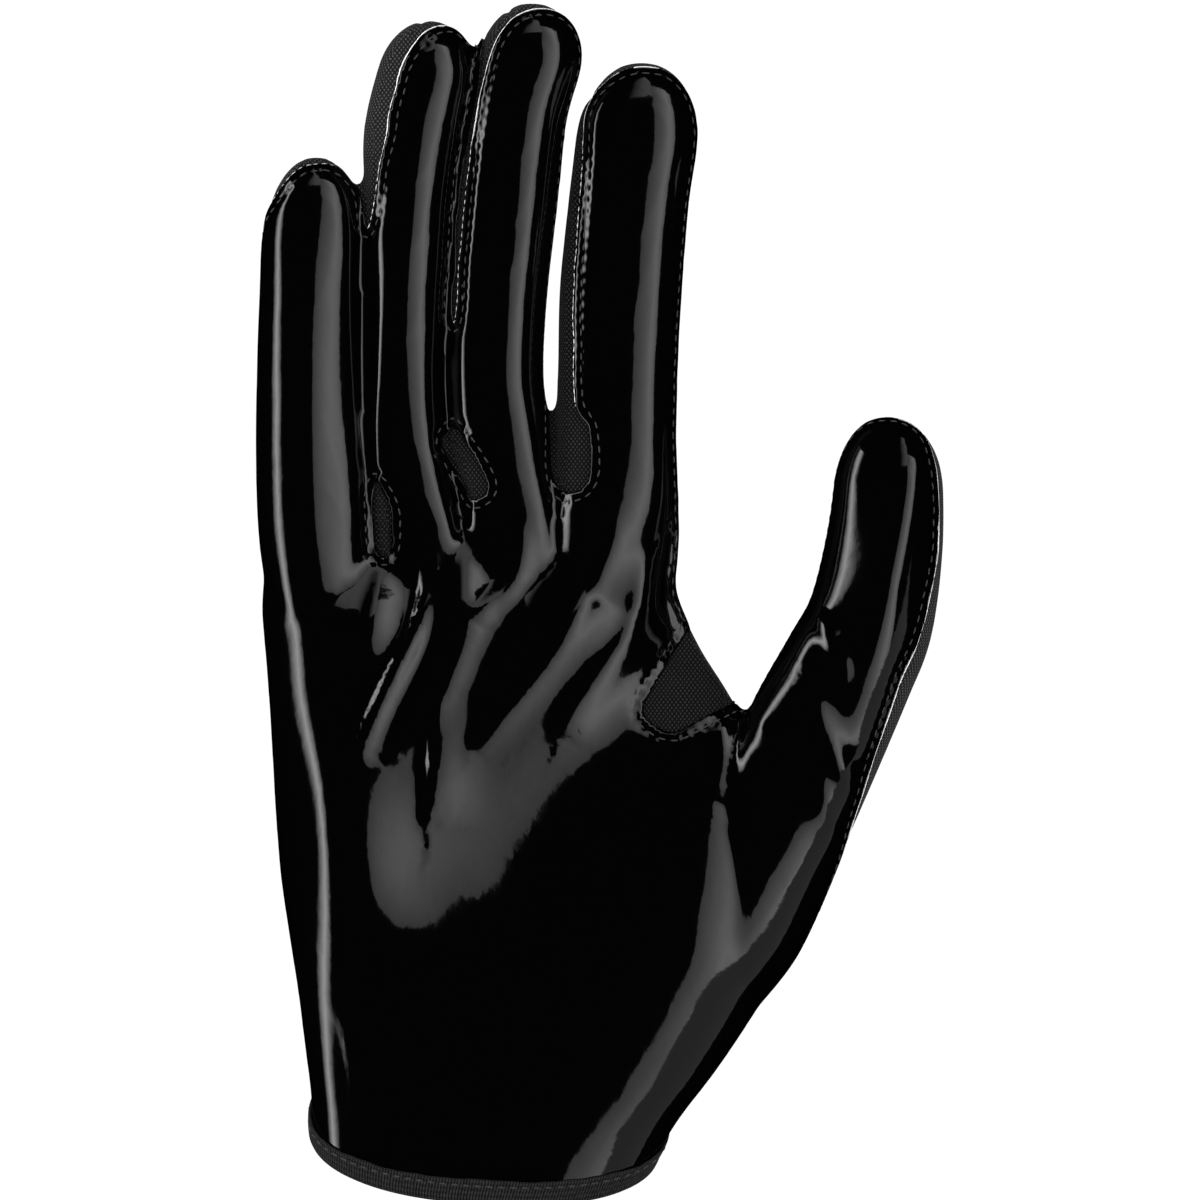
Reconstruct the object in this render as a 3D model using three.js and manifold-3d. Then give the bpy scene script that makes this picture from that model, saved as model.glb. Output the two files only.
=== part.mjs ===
// A football receiver's glove for the right hand, size large, as a hollow assembly of its sewn panels.
// It lies palm up on the back of the hand, fingers along +Y and thumb towards +X. Millimetres, +Z up.
import * as THREE from "three";
import { mergeVertices } from "three/addons/utils/BufferGeometryUtils.js";
import Module from "manifold-3d";

const wasm = await Module();
wasm.setup();

// Driving dimensions
const gloveLength = 246; // hem to the tip of the middle finger
const palmWidth = 88; // across the knuckles
const palmDepth = 34; // through the padded heel of the palm
const wall = 1.2; // coated palm sheet and knitted back alike
const seamGap = 0.3; // between two panels that are sewn together
const roundness = 2.3; // exponent of the superellipse of each section
const bindingHeight = 4.2; // visible height of the hem tape
const tapeThickness = 0.8; // one layer of the folded tape
const tapeClearance = 0.3; // between the tape and the panels inside it
const tapeTop = bindingHeight - tapeClearance - tapeThickness; // above the panels' edge
const hemLean = 12; // how much further the palm side reaches than the middle of the wrist
const hemTilt = 2; // how much further the thumb side reaches
const pinkyWidth = 22.4;
const ringWidth = 20;
const middleWidth = 21;
const indexWidth = 25.4;
const thumbWidth = 24;
const fingerDepth = 20;
const thumbDepth = 23;

// Fineness of the faceted surfaces
const palmPoints = 20; // around the palm side of a section
const backPoints = 8; // around the back of a section
const bodyRings = 15;
const digitPoints = 12;
const digitRings = 7;
const capRings = 3;
const cutHeight = 90; // half height of every cutting solid
const cutMargin = 30; // how far a cutting solid reaches past the glove

function table(columns, rows) {
  const names = columns.split(" ");
  return rows.map((row) => Object.fromEntries(names.map((name, i) => [name, row[i]])));
}

// Digits. x is a share of the palm's width, y of the length, z of the palm's depth, and width and depth of the
// digit's own. left and right are where the palm panel ends, in degrees round the section from the thumb side
// over the palm, and crown is how high the seam runs between them round the tip, as a share of the half depth.
const stationColumns = "x y z width depth left right crown";
const digits = {
  pinky: {
    width: pinkyWidth,
    depth: fingerDepth,
    leftStrip: false,
    rightStrip: true,
    stations: table(stationColumns, [
      [-0.33, 0.46, 0.4, 1.0, 0.9, 204, 9, 0.0],
      [-0.365, 0.55, 0.38, 1.09, 0.95, 204, 11, 0.0],
      [-0.381, 0.625, 0.34, 1.04, 0.95, 204, 14, 0.0],
      [-0.383, 0.69, 0.33, 1.0, 0.93, 204, 14, 0.0],
      [-0.381, 0.75, 0.34, 0.97, 0.92, 204, 14, 0.0],
      [-0.379, 0.8, 0.36, 0.95, 0.9, 200, 14, 0.1],
      [-0.374, 0.835, 0.38, 0.88, 0.85, 150, 14, 0.5],
      [-0.366, 0.872, 0.4, 0.82, 0.8, 125, 14, 0.65],
    ]),
  },
  ring: {
    width: ringWidth,
    depth: fingerDepth,
    leftStrip: true,
    rightStrip: true,
    stations: table(stationColumns, [
      [-0.1, 0.46, 0.42, 0.95, 0.9, 160, -4, 0.0],
      [-0.132, 0.55, 0.38, 0.97, 0.95, 125, -4, 0.0],
      [-0.163, 0.634, 0.33, 0.88, 0.95, 132, -6, 0.0],
      [-0.165, 0.69, 0.33, 0.82, 0.93, 147, -9, 0.0],
      [-0.161, 0.75, 0.34, 0.86, 0.95, 156, -9, 0.0],
      [-0.155, 0.834, 0.37, 0.96, 0.97, 128, -9, 0.1],
      [-0.146, 0.89, 0.4, 1.07, 0.97, 110, -9, 0.4],
      [-0.113, 0.945, 0.43, 1.02, 0.92, 110, -9, 0.6],
      [-0.086, 0.985, 0.45, 0.94, 0.88, 112, -9, 0.7],
    ]),
  },
  middle: {
    width: middleWidth,
    depth: fingerDepth,
    leftStrip: true,
    rightStrip: true,
    stations: table(stationColumns, [
      [0.1, 0.46, 0.42, 0.95, 0.9, 150, 0, 0.0],
      [0.09, 0.55, 0.38, 1.0, 0.97, 160, 0, 0.0],
      [0.06, 0.634, 0.34, 0.98, 0.97, 162, 0, 0.0],
      [0.049, 0.684, 0.33, 0.95, 0.97, 155, 0, 0.0],
      [0.054, 0.75, 0.34, 0.97, 0.97, 138, 0, 0.0],
      [0.077, 0.834, 0.38, 1.0, 1.0, 140, 3, 0.1],
      [0.103, 0.909, 0.42, 1.01, 0.98, 133, 6, 0.35],
      [0.131, 0.96, 0.45, 1.03, 0.95, 131, 7, 0.6],
      [0.146, 1.0, 0.47, 1.02, 0.9, 125, 7, 0.7],
    ]),
  },
  index: {
    width: indexWidth,
    depth: fingerDepth,
    leftStrip: true,
    rightStrip: false,
    stations: table(stationColumns, [
      [0.3, 0.45, 0.42, 0.95, 0.9, 170, 9, 0.0],
      [0.325, 0.55, 0.39, 1.05, 0.98, 170, 11, 0.0],
      [0.327, 0.634, 0.35, 1.0, 1.0, 128, 14, 0.0],
      [0.332, 0.692, 0.34, 0.99, 1.0, 131, 14, 0.0],
      [0.339, 0.76, 0.35, 1.01, 1.0, 135, 14, 0.0],
      [0.357, 0.842, 0.39, 1.0, 1.0, 140, 14, 0.1],
      [0.376, 0.884, 0.42, 1.0, 0.98, 149, 14, 0.3],
      [0.386, 0.918, 0.43, 0.97, 0.95, 158, 16, 0.5],
      [0.386, 0.951, 0.45, 0.93, 0.88, 150, 16, 0.6],
    ]),
  },
  thumb: {
    width: thumbWidth,
    depth: thumbDepth,
    leftStrip: false,
    rightStrip: false,
    stations: table(stationColumns, [
      [0.45, 0.15, 0.47, 1.0, 1.1, 189, -14, 0.0],
      [0.6, 0.24, 0.49, 1.33, 1.18, 189, -5, 0.0],
      [0.705, 0.315, 0.52, 1.26, 1.18, 189, 28, 0.0],
      [0.812, 0.398, 0.57, 1.22, 1.12, 189, 47, 0.0],
      [0.872, 0.442, 0.59, 1.16, 1.08, 189, 51, 0.0],
      [0.92, 0.478, 0.59, 1.1, 1.04, 189, 47, 0.0],
      [0.955, 0.54, 0.59, 1.02, 0.98, 189, 37, 0.1],
      [0.966, 0.6, 0.6, 0.94, 0.93, 189, 38, 0.25],
      [0.958, 0.653, 0.61, 0.88, 0.85, 180, 35, 0.4],
    ]),
  },
};
const fingers = [digits.pinky, digits.ring, digits.middle, digits.index];

// The body of the glove, from the hem to the roots of the fingers. left and right are shares of the palm's
// width, y of the length, low and depth of the palm's depth, lean of the hem's lean, and the seams of the
// half depth, up from the middle.
const bodyRows = table("y left right low depth lean ulnarSeam radialSeam", [
  [0.053, -0.377, 0.42, 0.033, 0.92, 1.0, -0.4, -0.3],
  [0.085, -0.382, 0.48, 0.033, 0.93, 0.85, -0.42, -0.3],
  [0.125, -0.395, 0.575, 0.01, 0.97, 0.65, -0.45, -0.3],
  [0.17, -0.41, 0.665, 0.0, 1.0, 0.4, -0.45, -0.28],
  [0.22, -0.432, 0.75, 0.0, 1.0, 0.2, -0.45, -0.2],
  [0.27, -0.452, 0.77, 0.0, 0.99, 0.05, -0.45, 0.0],
  [0.32, -0.463, 0.74, 0.0, 0.96, 0.0, -0.45, 0.1],
  [0.37, -0.471, 0.675, 0.0, 0.91, 0.0, -0.45, 0.1],
  [0.42, -0.481, 0.6, 0.0, 0.86, 0.0, -0.45, 0.1],
  [0.46, -0.491, 0.53, 0.0, 0.8, 0.0, -0.45, 0.15],
  [0.495, -0.498, 0.485, 0.0, 0.74, 0.0, -0.45, 0.2],
  [0.525, -0.49, 0.465, 0.03, 0.62, 0.0, -0.45, 0.2],
  [0.55, -0.46, 0.44, 0.08, 0.48, 0.0, -0.45, 0.2],
  [0.57, -0.4, 0.4, 0.16, 0.3, 0.0, -0.45, 0.2],
]);

// Broad hollows and mounds of the palm. Radii are shares of the palm's width and the glove's length.
const mounds = table("x y radiusX radiusY height", [
  [0.0, 0.36, 0.26, 0.11, -0.2],
  [0.46, 0.3, 0.17, 0.09, 0.1],
  [-0.32, 0.27, 0.16, 0.13, 0.06],
  [0.02, 0.1, 0.25, 0.05, -0.06],
  [-0.3, 0.47, 0.16, 0.035, 0.05],
  [0.28, 0.48, 0.18, 0.035, 0.05],
]);

// Creases and pleats that run from the finger roots into the hollow, and across the root of the thumb.
// Each runs from (x1, y1) by (x2, y2) to (x3, y3), with its half width and height.
const folds = table("x1 y1 x2 y2 x3 y3 reach height", [
  [-0.201, 0.533, -0.225, 0.475, -0.255, 0.43, 0.028, -0.07],
  [-0.15, 0.546, -0.2, 0.45, -0.26, 0.36, 0.026, 0.05],
  [-0.04, 0.575, -0.07, 0.46, -0.2, 0.37, 0.03, -0.08],
  [0.02, 0.55, -0.03, 0.46, -0.1, 0.34, 0.028, 0.05],
  [0.05, 0.55, 0.06, 0.53, 0.06, 0.5, 0.025, -0.05],
  [0.21, 0.575, 0.1, 0.47, 0.0, 0.4, 0.038, -0.09],
  [0.35, 0.57, 0.26, 0.485, 0.09, 0.4, 0.032, 0.06],
  [0.36, 0.53, 0.27, 0.46, 0.18, 0.4, 0.032, -0.07],
  [0.39, 0.48, 0.28, 0.42, 0.18, 0.37, 0.03, 0.05],
  [0.7, 0.42, 0.82, 0.36, 0.84, 0.3, 0.02, -0.05],
  [0.62, 0.4, 0.72, 0.34, 0.76, 0.27, 0.024, -0.05],
]);

// Places where a side strip comes through to the palm side, round-ended towards the wrist.
const crotchWindows = table("x y width length lean", [
  [-0.212, 0.535, 0.044, 0.045, -0.06],
  [0.008, 0.582, 0.056, 0.055, -0.55],
  [0.224, 0.588, 0.093, 0.045, -0.03],
]);

// The thumb gusset's outline on the palm side, as shares of the palm's width and the glove's length.
const gussetOutline = table("x y", [
  [0.39, 0.402],
  [0.44, 0.39],
  [0.52, 0.4],
  [0.61, 0.415],
  [0.7, 0.47],
  [0.6, 0.52],
  [0.47, 0.5],
]);

// Solids

function manifoldOf(geometry) {
  const bare = geometry.clone();
  for (const name of Object.keys(bare.attributes)) {
    if (name !== "position") bare.deleteAttribute(name);
  }
  const merged = mergeVertices(bare, 1e-4);
  const mesh = new wasm.Mesh({
    numProp: 3,
    vertProperties: new Float32Array(merged.attributes.position.array),
    triVerts: new Uint32Array(merged.index.array),
  });
  return new wasm.Manifold(mesh);
}

function geometryOf(solid) {
  const mesh = solid.getMesh();
  const geometry = new THREE.BufferGeometry();
  geometry.setAttribute("position", new THREE.BufferAttribute(new Float32Array(mesh.vertProperties), 3));
  geometry.setIndex(new THREE.BufferAttribute(new Uint32Array(mesh.triVerts), 1));
  geometry.computeVertexNormals();
  return geometry;
}

// A closed solid from points and faces of three or four corners, turned to face outwards.
function closedSolid(points, faces) {
  const triangles = faces.flatMap((f) => (f.length === 3 ? [f] : [[f[0], f[1], f[2]], [f[0], f[2], f[3]]]));
  const volume = triangles.reduce((sum, [a, b, c]) => {
    const cross = new THREE.Vector3().crossVectors(points[b], points[c]);
    return sum + points[a].dot(cross);
  }, 0);
  const facing = volume < 0 ? triangles.map(([a, b, c]) => [a, c, b]) : triangles;
  const geometry = new THREE.BufferGeometry().setFromPoints(points);
  geometry.setIndex(facing.flat());
  return manifoldOf(geometry);
}

// A skin through rings of equally many points, closed at each end by a fan to the given point.
function loft(rings, startPoint, endPoint) {
  const count = rings[0].length;
  const points = [...rings.flat(), startPoint, endPoint];
  const start = points.length - 2;
  const end = points.length - 1;
  const last = (rings.length - 1) * count;
  const faces = [];
  for (let i = 0; i < count; i++) {
    const next = (i + 1) % count;
    for (let r = 0; r + 1 < rings.length; r++) {
      faces.push([r * count + i, r * count + next, (r + 1) * count + next, (r + 1) * count + i]);
    }
    faces.push([start, next, i], [end, last + i, last + next]);
  }
  return closedSolid(points, faces);
}

// A closed band through rings that run all the way round.
function loopedLoft(rings) {
  const count = rings[0].length;
  const faces = [];
  for (let r = 0; r < rings.length; r++) {
    const after = (r + 1) % rings.length;
    for (let i = 0; i < count; i++) {
      const next = (i + 1) % count;
      faces.push([r * count + i, r * count + next, after * count + next, after * count + i]);
    }
  }
  return closedSolid(rings.flat(), faces);
}

const signedPower = (value, power) => Math.sign(value) * Math.abs(value) ** power;
const gauss = (distance) => Math.exp(-distance * distance);

// Smooth values of a table between its rows. pick names three columns, and place runs from 0 to 1.
function smoothColumns(rows, ...pick) {
  const points = rows.map((row) => new THREE.Vector3(...pick.map((name) => row[name] ?? 0)));
  const curve = new THREE.CatmullRomCurve3(points, false, "centripetal");
  return (place) => curve.getPoint(THREE.MathUtils.clamp(place, 0, 1));
}

// Digits

for (const digit of Object.values(digits)) {
  const spineRows = digit.stations.map((s) => ({
    x: s.x * palmWidth,
    y: s.y * gloveLength,
    z: s.z * palmDepth,
  }));
  digit.spine = new THREE.CatmullRomCurve3(
    spineRows.map((s) => new THREE.Vector3(s.x, s.y, s.z)),
    false,
    "centripetal",
  );
  digit.length = digit.spine.getLength();
  digit.sizes = smoothColumns(digit.stations, "width", "depth");
  digit.seams = smoothColumns(digit.stations, "left", "right", "crown");
}

// The spine's point, side direction, upward direction and half sizes, at a length from the root.
function digitFrame(digit, along) {
  const share = THREE.MathUtils.clamp(along / digit.length, 0, 1);
  const place = digit.spine.getUtoTmapping(share);
  const tangent = digit.spine.getTangent(place);
  const side = new THREE.Vector3(tangent.y, -tangent.x, 0).normalize();
  const up = new THREE.Vector3().crossVectors(side, tangent);
  const size = digit.sizes(place);
  return {
    centre: digit.spine.getPoint(place),
    side,
    up,
    halfWidth: (size.x * digit.width) / 2,
    halfDepth: (size.y * digit.depth) / 2,
  };
}

function digitRing(digit, along, shrink, inset) {
  const frame = digitFrame(digit, along);
  return Array.from({ length: digitPoints }, (_, i) => {
    const angle = (2 * Math.PI * i) / digitPoints;
    const across = signedPower(Math.cos(angle), 2 / roundness) * (frame.halfWidth - inset) * shrink;
    const high = signedPower(Math.sin(angle), 2 / roundness) * (frame.halfDepth - inset) * shrink;
    const point = frame.centre.clone().addScaledVector(frame.side, across).addScaledVector(frame.up, high);
    point.z = Math.max(point.z, inset);
    return point;
  });
}

function digitSolid(digit, inset) {
  const tipReach = 0.6 * digit.width - inset;
  const shaftEnd = digit.length - inset - tipReach;
  const rings = [];
  for (let i = 0; i < digitRings; i++) {
    rings.push(digitRing(digit, (shaftEnd * i) / (digitRings - 1), 1, inset));
  }
  for (let i = 1; i <= capRings; i++) {
    const turn = (Math.PI / 2) * (i / (capRings + 0.6));
    rings.push(digitRing(digit, shaftEnd + tipReach * Math.sin(turn), Math.cos(turn) ** 0.9, inset));
  }
  return loft(rings, digitFrame(digit, 0).centre, digitFrame(digit, digit.length - inset).centre);
}

// Body

const bodyEdges = smoothColumns(bodyRows, "y", "left", "right");
const bodyForm = smoothColumns(bodyRows, "depth", "lean", "low");
const bodySeams = smoothColumns(bodyRows, "ulnarSeam", "radialSeam");

function foldHeight(fold, x, y) {
  const nodes = [
    new THREE.Vector2(fold.x1 * palmWidth, fold.y1 * gloveLength),
    new THREE.Vector2(fold.x2 * palmWidth, fold.y2 * gloveLength),
    new THREE.Vector2(fold.x3 * palmWidth, fold.y3 * gloveLength),
  ];
  const point = new THREE.Vector2(x, y);
  let best = { distance: Infinity, along: 0 };
  for (let i = 0; i < 2; i++) {
    const leg = nodes[i + 1].clone().sub(nodes[i]);
    const share = THREE.MathUtils.clamp(point.clone().sub(nodes[i]).dot(leg) / leg.lengthSq(), 0, 1);
    const distance = point.distanceTo(nodes[i].clone().addScaledVector(leg, share));
    if (distance < best.distance) best = { distance, along: (i + share) / 2 };
  }
  const swell = Math.sin(Math.PI * (0.2 + 0.7 * best.along));
  return fold.height * palmDepth * swell * gauss(best.distance / (fold.reach * palmWidth));
}

function relief(x, y) {
  const broad = mounds.reduce((sum, m) => {
    const across = (x / palmWidth - m.x) / m.radiusX;
    const along = (y / gloveLength - m.y) / m.radiusY;
    return sum + m.height * palmDepth * gauss(Math.hypot(across, along));
  }, 0);
  return folds.reduce((sum, fold) => sum + foldHeight(fold, x, y), broad);
}

// Half of one section's points go over the palm side, the rest under the back.
function sectionAngles() {
  const palmSide = Array.from({ length: palmPoints }, (_, i) => (Math.PI * i) / palmPoints);
  const backSide = Array.from({ length: backPoints }, (_, i) => Math.PI * (1 + i / backPoints));
  return [...palmSide, ...backSide];
}

// A section of the body at a place from 0 to 1, drawn in by inset and moved along the glove by shift.
function bodyRing(place, inset, shift = 0) {
  const edges = bodyEdges(place);
  const form = bodyForm(place);
  const halfDepth = (form.x * palmDepth) / 2;
  const halfWidth = ((edges.z - edges.y) * palmWidth) / 2;
  const centreX = ((edges.z + edges.y) * palmWidth) / 2;
  return sectionAngles().map((angle) => {
    const across = -signedPower(Math.cos(angle), 2 / roundness);
    const high = signedPower(Math.sin(angle), 2 / roundness);
    const x = centreX + across * (halfWidth - inset);
    const y = edges.x * gloveLength - form.y * (high * hemLean + across * hemTilt) + shift;
    const raised = high > 0 ? relief(x, y) * Math.sin(angle) : 0;
    const under = high < 0 ? 1.1 : 1;
    const floor = form.z * palmDepth;
    const z = floor + halfDepth + high * under * (halfDepth - inset) + raised;
    return new THREE.Vector3(x, y, Math.max(z, floor + inset));
  });
}

// The place from 0 to 1 that lies a given length above the hem.
function bodyPlace(rise) {
  let place = 0;
  while (place < 1 && (bodyEdges(place).x - bodyEdges(0).x) * gloveLength < rise) place += 0.001;
  return place;
}

const ringCentre = (ring) =>
  ring.reduce((sum, point) => sum.add(point), new THREE.Vector3()).divideScalar(ring.length);

// The inner body starts before the hem by openBy, so that taking it away leaves the wrist open.
function bodySolid(inset, openBy) {
  const rings = [openBy ? bodyRing(0, inset, -openBy) : bodyRing(0, inset + 2 * wall)];
  const tapeEdge = bodyPlace(tapeTop);
  rings.push(bodyRing(0, inset));
  for (let i = 0; i < bodyRings; i++) rings.push(bodyRing(THREE.MathUtils.lerp(tapeEdge, 1, i / bodyRings), inset));
  rings.push(bodyRing(1, inset, -inset));
  const crown = ringCentre(rings[rings.length - 1]);
  crown.y += wall;
  return loft(rings, ringCentre(rings[0]), crown);
}

function handSolid(inset, openBy) {
  const pieces = [bodySolid(inset, openBy), ...Object.values(digits).map((digit) => digitSolid(digit, inset))];
  return pieces.reduce((whole, piece) => whole.add(piece));
}

// Seams: two sheets of height over the plan. The palm lies above the high sheet and the back under the low one.

// Across a digit the sheets have a node at each edge, one where the higher seam lies, and one inside it.
function digitSeam(digit, y) {
  const steps = 60;
  let along = 0;
  for (let i = 1; i <= steps; i++) {
    const tried = (digit.length * i) / steps;
    if (digitFrame(digit, tried).centre.y <= y) along = tried;
  }
  const frame = digitFrame(digit, along);
  const seams = digit.seams(digit.spine.getUtoTmapping(along / digit.length));
  const [left, right] = [seams.x, seams.y].map((degrees) => {
    const angle = THREE.MathUtils.degToRad(degrees);
    return { across: signedPower(Math.cos(angle), 2 / roundness), high: signedPower(Math.sin(angle), 2 / roundness) };
  });
  const isThumb = right.high > left.high;
  const upper = isThumb ? right : left;
  const inward = isThumb ? -seamDrop : seamDrop;
  const node = (across, high, low = high) => ({
    x: frame.centre.x + (across * frame.halfWidth) / frame.side.x,
    high: frame.centre.z + high * frame.halfDepth,
    low: frame.centre.z + low * frame.halfDepth,
  });
  const leftLow = digit.leftStrip ? -stripDepth : left.high;
  const rightLow = digit.rightStrip ? -stripDepth : right.high;
  const edges = [node(-1, left.high, leftLow), node(1, right.high, rightLow)];
  const seam = node(upper.across, upper.high, isThumb ? rightLow : leftLow);
  const crown = node(upper.across + inward, Math.min(seams.z, upper.high));
  return isThumb ? [edges[0], crown, seam, edges[1]] : [edges[0], seam, crown, edges[1]];
}

function bodySeam(y) {
  let place = 0;
  for (let i = 1; i <= 60; i++) if (bodyEdges(i / 60).x * gloveLength <= y) place = i / 60;
  const edges = bodyEdges(place);
  const seams = bodySeams(place);
  const form = bodyForm(place);
  const half = (form.x * palmDepth) / 2;
  const middle = form.z * palmDepth + half;
  return {
    left: { x: edges.y * palmWidth, height: middle + half * seams.x },
    right: { x: edges.z * palmWidth, height: middle + half * seams.y },
    middle,
  };
}

const stripDepth = 0.45; // the side strips reach this share of the half depth below a finger's middle
const seamDrop = 0.16; // share of the half width in which a high seam's sheet dips to the crown
const fingerRoot = 0.53; // share of the length where the fingers part
const thumbTop = 0.43; // share of the length at the web between thumb and palm
const thumbRoot = 0.27; // share of the length where the thumb's outer seam begins
const seamLevels = [-0.1, 0.1, 0.2, 0.27, 0.32, 0.37, 0.43, 0.48, 0.53, 0.56, 0.62, 0.68]
  .concat([0.75, 0.8, 0.835, 0.865, 0.91, 0.97, 1.1]);

// The sheets' nodes across the glove at one level, from far left to far right.
function seamNodes(share) {
  const y = share * gloveLength;
  const body = bodySeam(y);
  const flat = (x, height) => ({ x, high: height, low: height });
  const row = fingers.flatMap((finger) => digitSeam(finger, y));
  const thumb = digitSeam(digits.thumb, y);
  if (share < fingerRoot) {
    const count = row.length;
    for (let i = 1; i < count; i++) {
      row[i] = flat(THREE.MathUtils.lerp(body.left.x, body.right.x, i / count), body.middle);
    }
    row[0] = flat(body.left.x, body.left.height);
    row[count - 1] = flat(Math.min(row[count - 1].x, body.right.x), body.middle);
    if (share >= thumbTop) row[count - 1] = flat(body.right.x, body.right.height);
  }
  if (share < thumbTop) thumb[0] = flat(row[row.length - 1].x + 2 * wall, body.middle);
  if (share < thumbRoot) {
    const inside = body.right.x - palmDepth / 4;
    row[row.length - 1] = flat(inside - 3 * wall, body.middle);
    thumb[0] = flat(inside - 2 * wall, body.middle);
    thumb[1] = flat(inside - wall, body.middle);
    thumb[2] = flat(inside, body.middle);
    thumb[3] = flat(body.right.x, body.right.height);
  }
  const nodes = [...row, ...thumb];
  const first = { ...nodes[0], x: -palmWidth - cutMargin };
  const last = { ...nodes[nodes.length - 1], x: 1.4 * palmWidth + cutMargin };
  for (let i = 1; i < nodes.length; i++) nodes[i].x = Math.max(nodes[i].x, nodes[i - 1].x + seamGap);
  return [first, ...nodes, last].map((node) => ({ ...node, y }));
}

// The space above or below a sheet, moved up by offset.
function halfSpace(which, offset, direction) {
  const rows = seamLevels.map(seamNodes);
  const across = rows[0].length;
  const sheet = rows.flat().map((n) => new THREE.Vector3(n.x, n.y, n[which] + offset));
  const far = sheet.map((point) => new THREE.Vector3(point.x, point.y, direction * cutHeight));
  const count = sheet.length;
  const faces = [];
  for (let r = 0; r + 1 < rows.length; r++) {
    for (let i = 0; i + 1 < across; i++) {
      const corners = [r * across + i, r * across + i + 1, (r + 1) * across + i + 1, (r + 1) * across + i];
      faces.push(corners, corners.map((c) => c + count).reverse());
    }
  }
  const rim = [];
  for (let i = 0; i + 1 < across; i++) rim.push(i);
  for (let r = 0; r + 1 < rows.length; r++) rim.push(r * across + across - 1);
  for (let i = across - 1; i > 0; i--) rim.push((rows.length - 1) * across + i);
  for (let r = rows.length - 1; r > 0; r--) rim.push(r * across);
  rim.forEach((corner, i) => {
    const next = rim[(i + 1) % rim.length];
    faces.push([next, corner, corner + count, next + count]);
  });
  return closedSolid(sheet.concat(far), faces);
}

// Cut-outs of the palm where strips and gusset come through, larger all round by grow.

function standing(shape) {
  const geometry = new THREE.ExtrudeGeometry(shape, { depth: 2 * cutHeight, bevelEnabled: false, curveSegments: 6 });
  geometry.translate(0, 0, -cutHeight);
  return manifoldOf(geometry);
}

function crotchWindow(row, grow) {
  const radius = (row.width * palmWidth) / 2 + grow;
  const length = row.length * gloveLength;
  const shape = new THREE.Shape();
  shape.moveTo(-radius, length);
  shape.lineTo(-radius, 0);
  shape.absarc(0, 0, radius, Math.PI, 2 * Math.PI, false);
  shape.lineTo(radius, length);
  shape.closePath();
  const turn = (Math.atan(-row.lean) * 180) / Math.PI;
  const lift = (row.width * palmWidth) / 2;
  return standing(shape)
    .rotate([0, 0, turn])
    .translate([row.x * palmWidth, row.y * gloveLength + lift, 0]);
}

function gussetWindow(grow) {
  const corners = gussetOutline.map((c) => new THREE.Vector2(c.x * palmWidth, c.y * gloveLength));
  const centre = corners.reduce((sum, c) => sum.add(c), new THREE.Vector2()).divideScalar(corners.length);
  const moved = corners.map((c) => c.clone().add(c.clone().sub(centre).setLength(grow)));
  return standing(new THREE.Shape(moved));
}

function windows(grow) {
  return crotchWindows.map((row) => crotchWindow(row, grow)).reduce((all, w) => all.add(w), gussetWindow(grow));
}

// Panels

// The largest body of a cut solid, without the crumbs that a slanting cut leaves.
function mainBody(solid) {
  return solid.decompose().reduce((best, body) => (body.volume() > best.volume() ? body : best));
}

// The largest body of a cut solid near a place across the glove.
function bodyNear(solid, x) {
  const near = solid.decompose().filter((body) => {
    const box = body.boundingBox();
    return box.min[0] < x && x < box.max[0];
  });
  return near.reduce((best, body) => (body.volume() > best.volume() ? body : best));
}

const shell = handSolid(0, 0).subtract(handSolid(wall, cutMargin));
const half = seamGap / 2;
const palmSolid = mainBody(shell.intersect(halfSpace("high", half, 1)).subtract(windows(half)));
const backSolid = mainBody(shell.intersect(halfSpace("low", -half, -1)));
const sides = shell
  .subtract(halfSpace("low", half, -1))
  .subtract(halfSpace("high", -half, 1).subtract(windows(-half)));
const strips = crotchWindows.map((row) => bodyNear(sides, row.x * palmWidth));
const gussetSolid = bodyNear(sides, 0.52 * palmWidth);

// Hem tape: a folded strip whose slot takes the edges of both panels.
function bindingSolid() {
  const outer = tapeClearance + tapeThickness;
  const inner = wall + tapeClearance;
  const profile = [
    [-outer, tapeTop],
    [-outer, -outer],
    [inner + tapeThickness, -outer],
    [inner + tapeThickness, tapeTop],
    [inner, tapeTop],
    [inner, -tapeClearance],
    [-tapeClearance, -tapeClearance],
    [-tapeClearance, tapeTop],
  ];
  const columns = profile.map(([inset, rise]) => bodyRing(bodyPlace(rise), inset, Math.min(rise, 0)));
  const rings = columns[0].map((_, i) => columns.map((column) => column[i]));
  return loopedLoft(rings);
}

// Assembly

const finishes = {
  coatedPalm: { color: 0x08080a, roughness: 0.12, metalness: 0 },
  knit: { color: 0x1c1c1f, roughness: 0.85, metalness: 0 },
  tape: { color: 0x101012, roughness: 0.8, metalness: 0 },
};

function panel(name, solid, finish) {
  const mesh = new THREE.Mesh(geometryOf(solid), new THREE.MeshStandardMaterial(finish));
  mesh.name = name;
  return mesh;
}

const glove = new THREE.Group();
glove.add(
  panel("palm", palmSolid, finishes.coatedPalm),
  panel("back", backSolid, finishes.knit),
  panel("fourchette_pinky_ring", strips[0], finishes.knit),
  panel("fourchette_ring_middle", strips[1], finishes.knit),
  panel("fourchette_middle_index", strips[2], finishes.knit),
  panel("thumb_gusset", gussetSolid, finishes.knit),
  panel("cuff_binding", bindingSolid(), finishes.tape),
);

// The origin is under the middle of the glove's box.
const box = new THREE.Box3().setFromObject(glove);
const middle = box.getCenter(new THREE.Vector3());
glove.position.set(-middle.x, -middle.y, -box.min.z);

export default glove;
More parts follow.
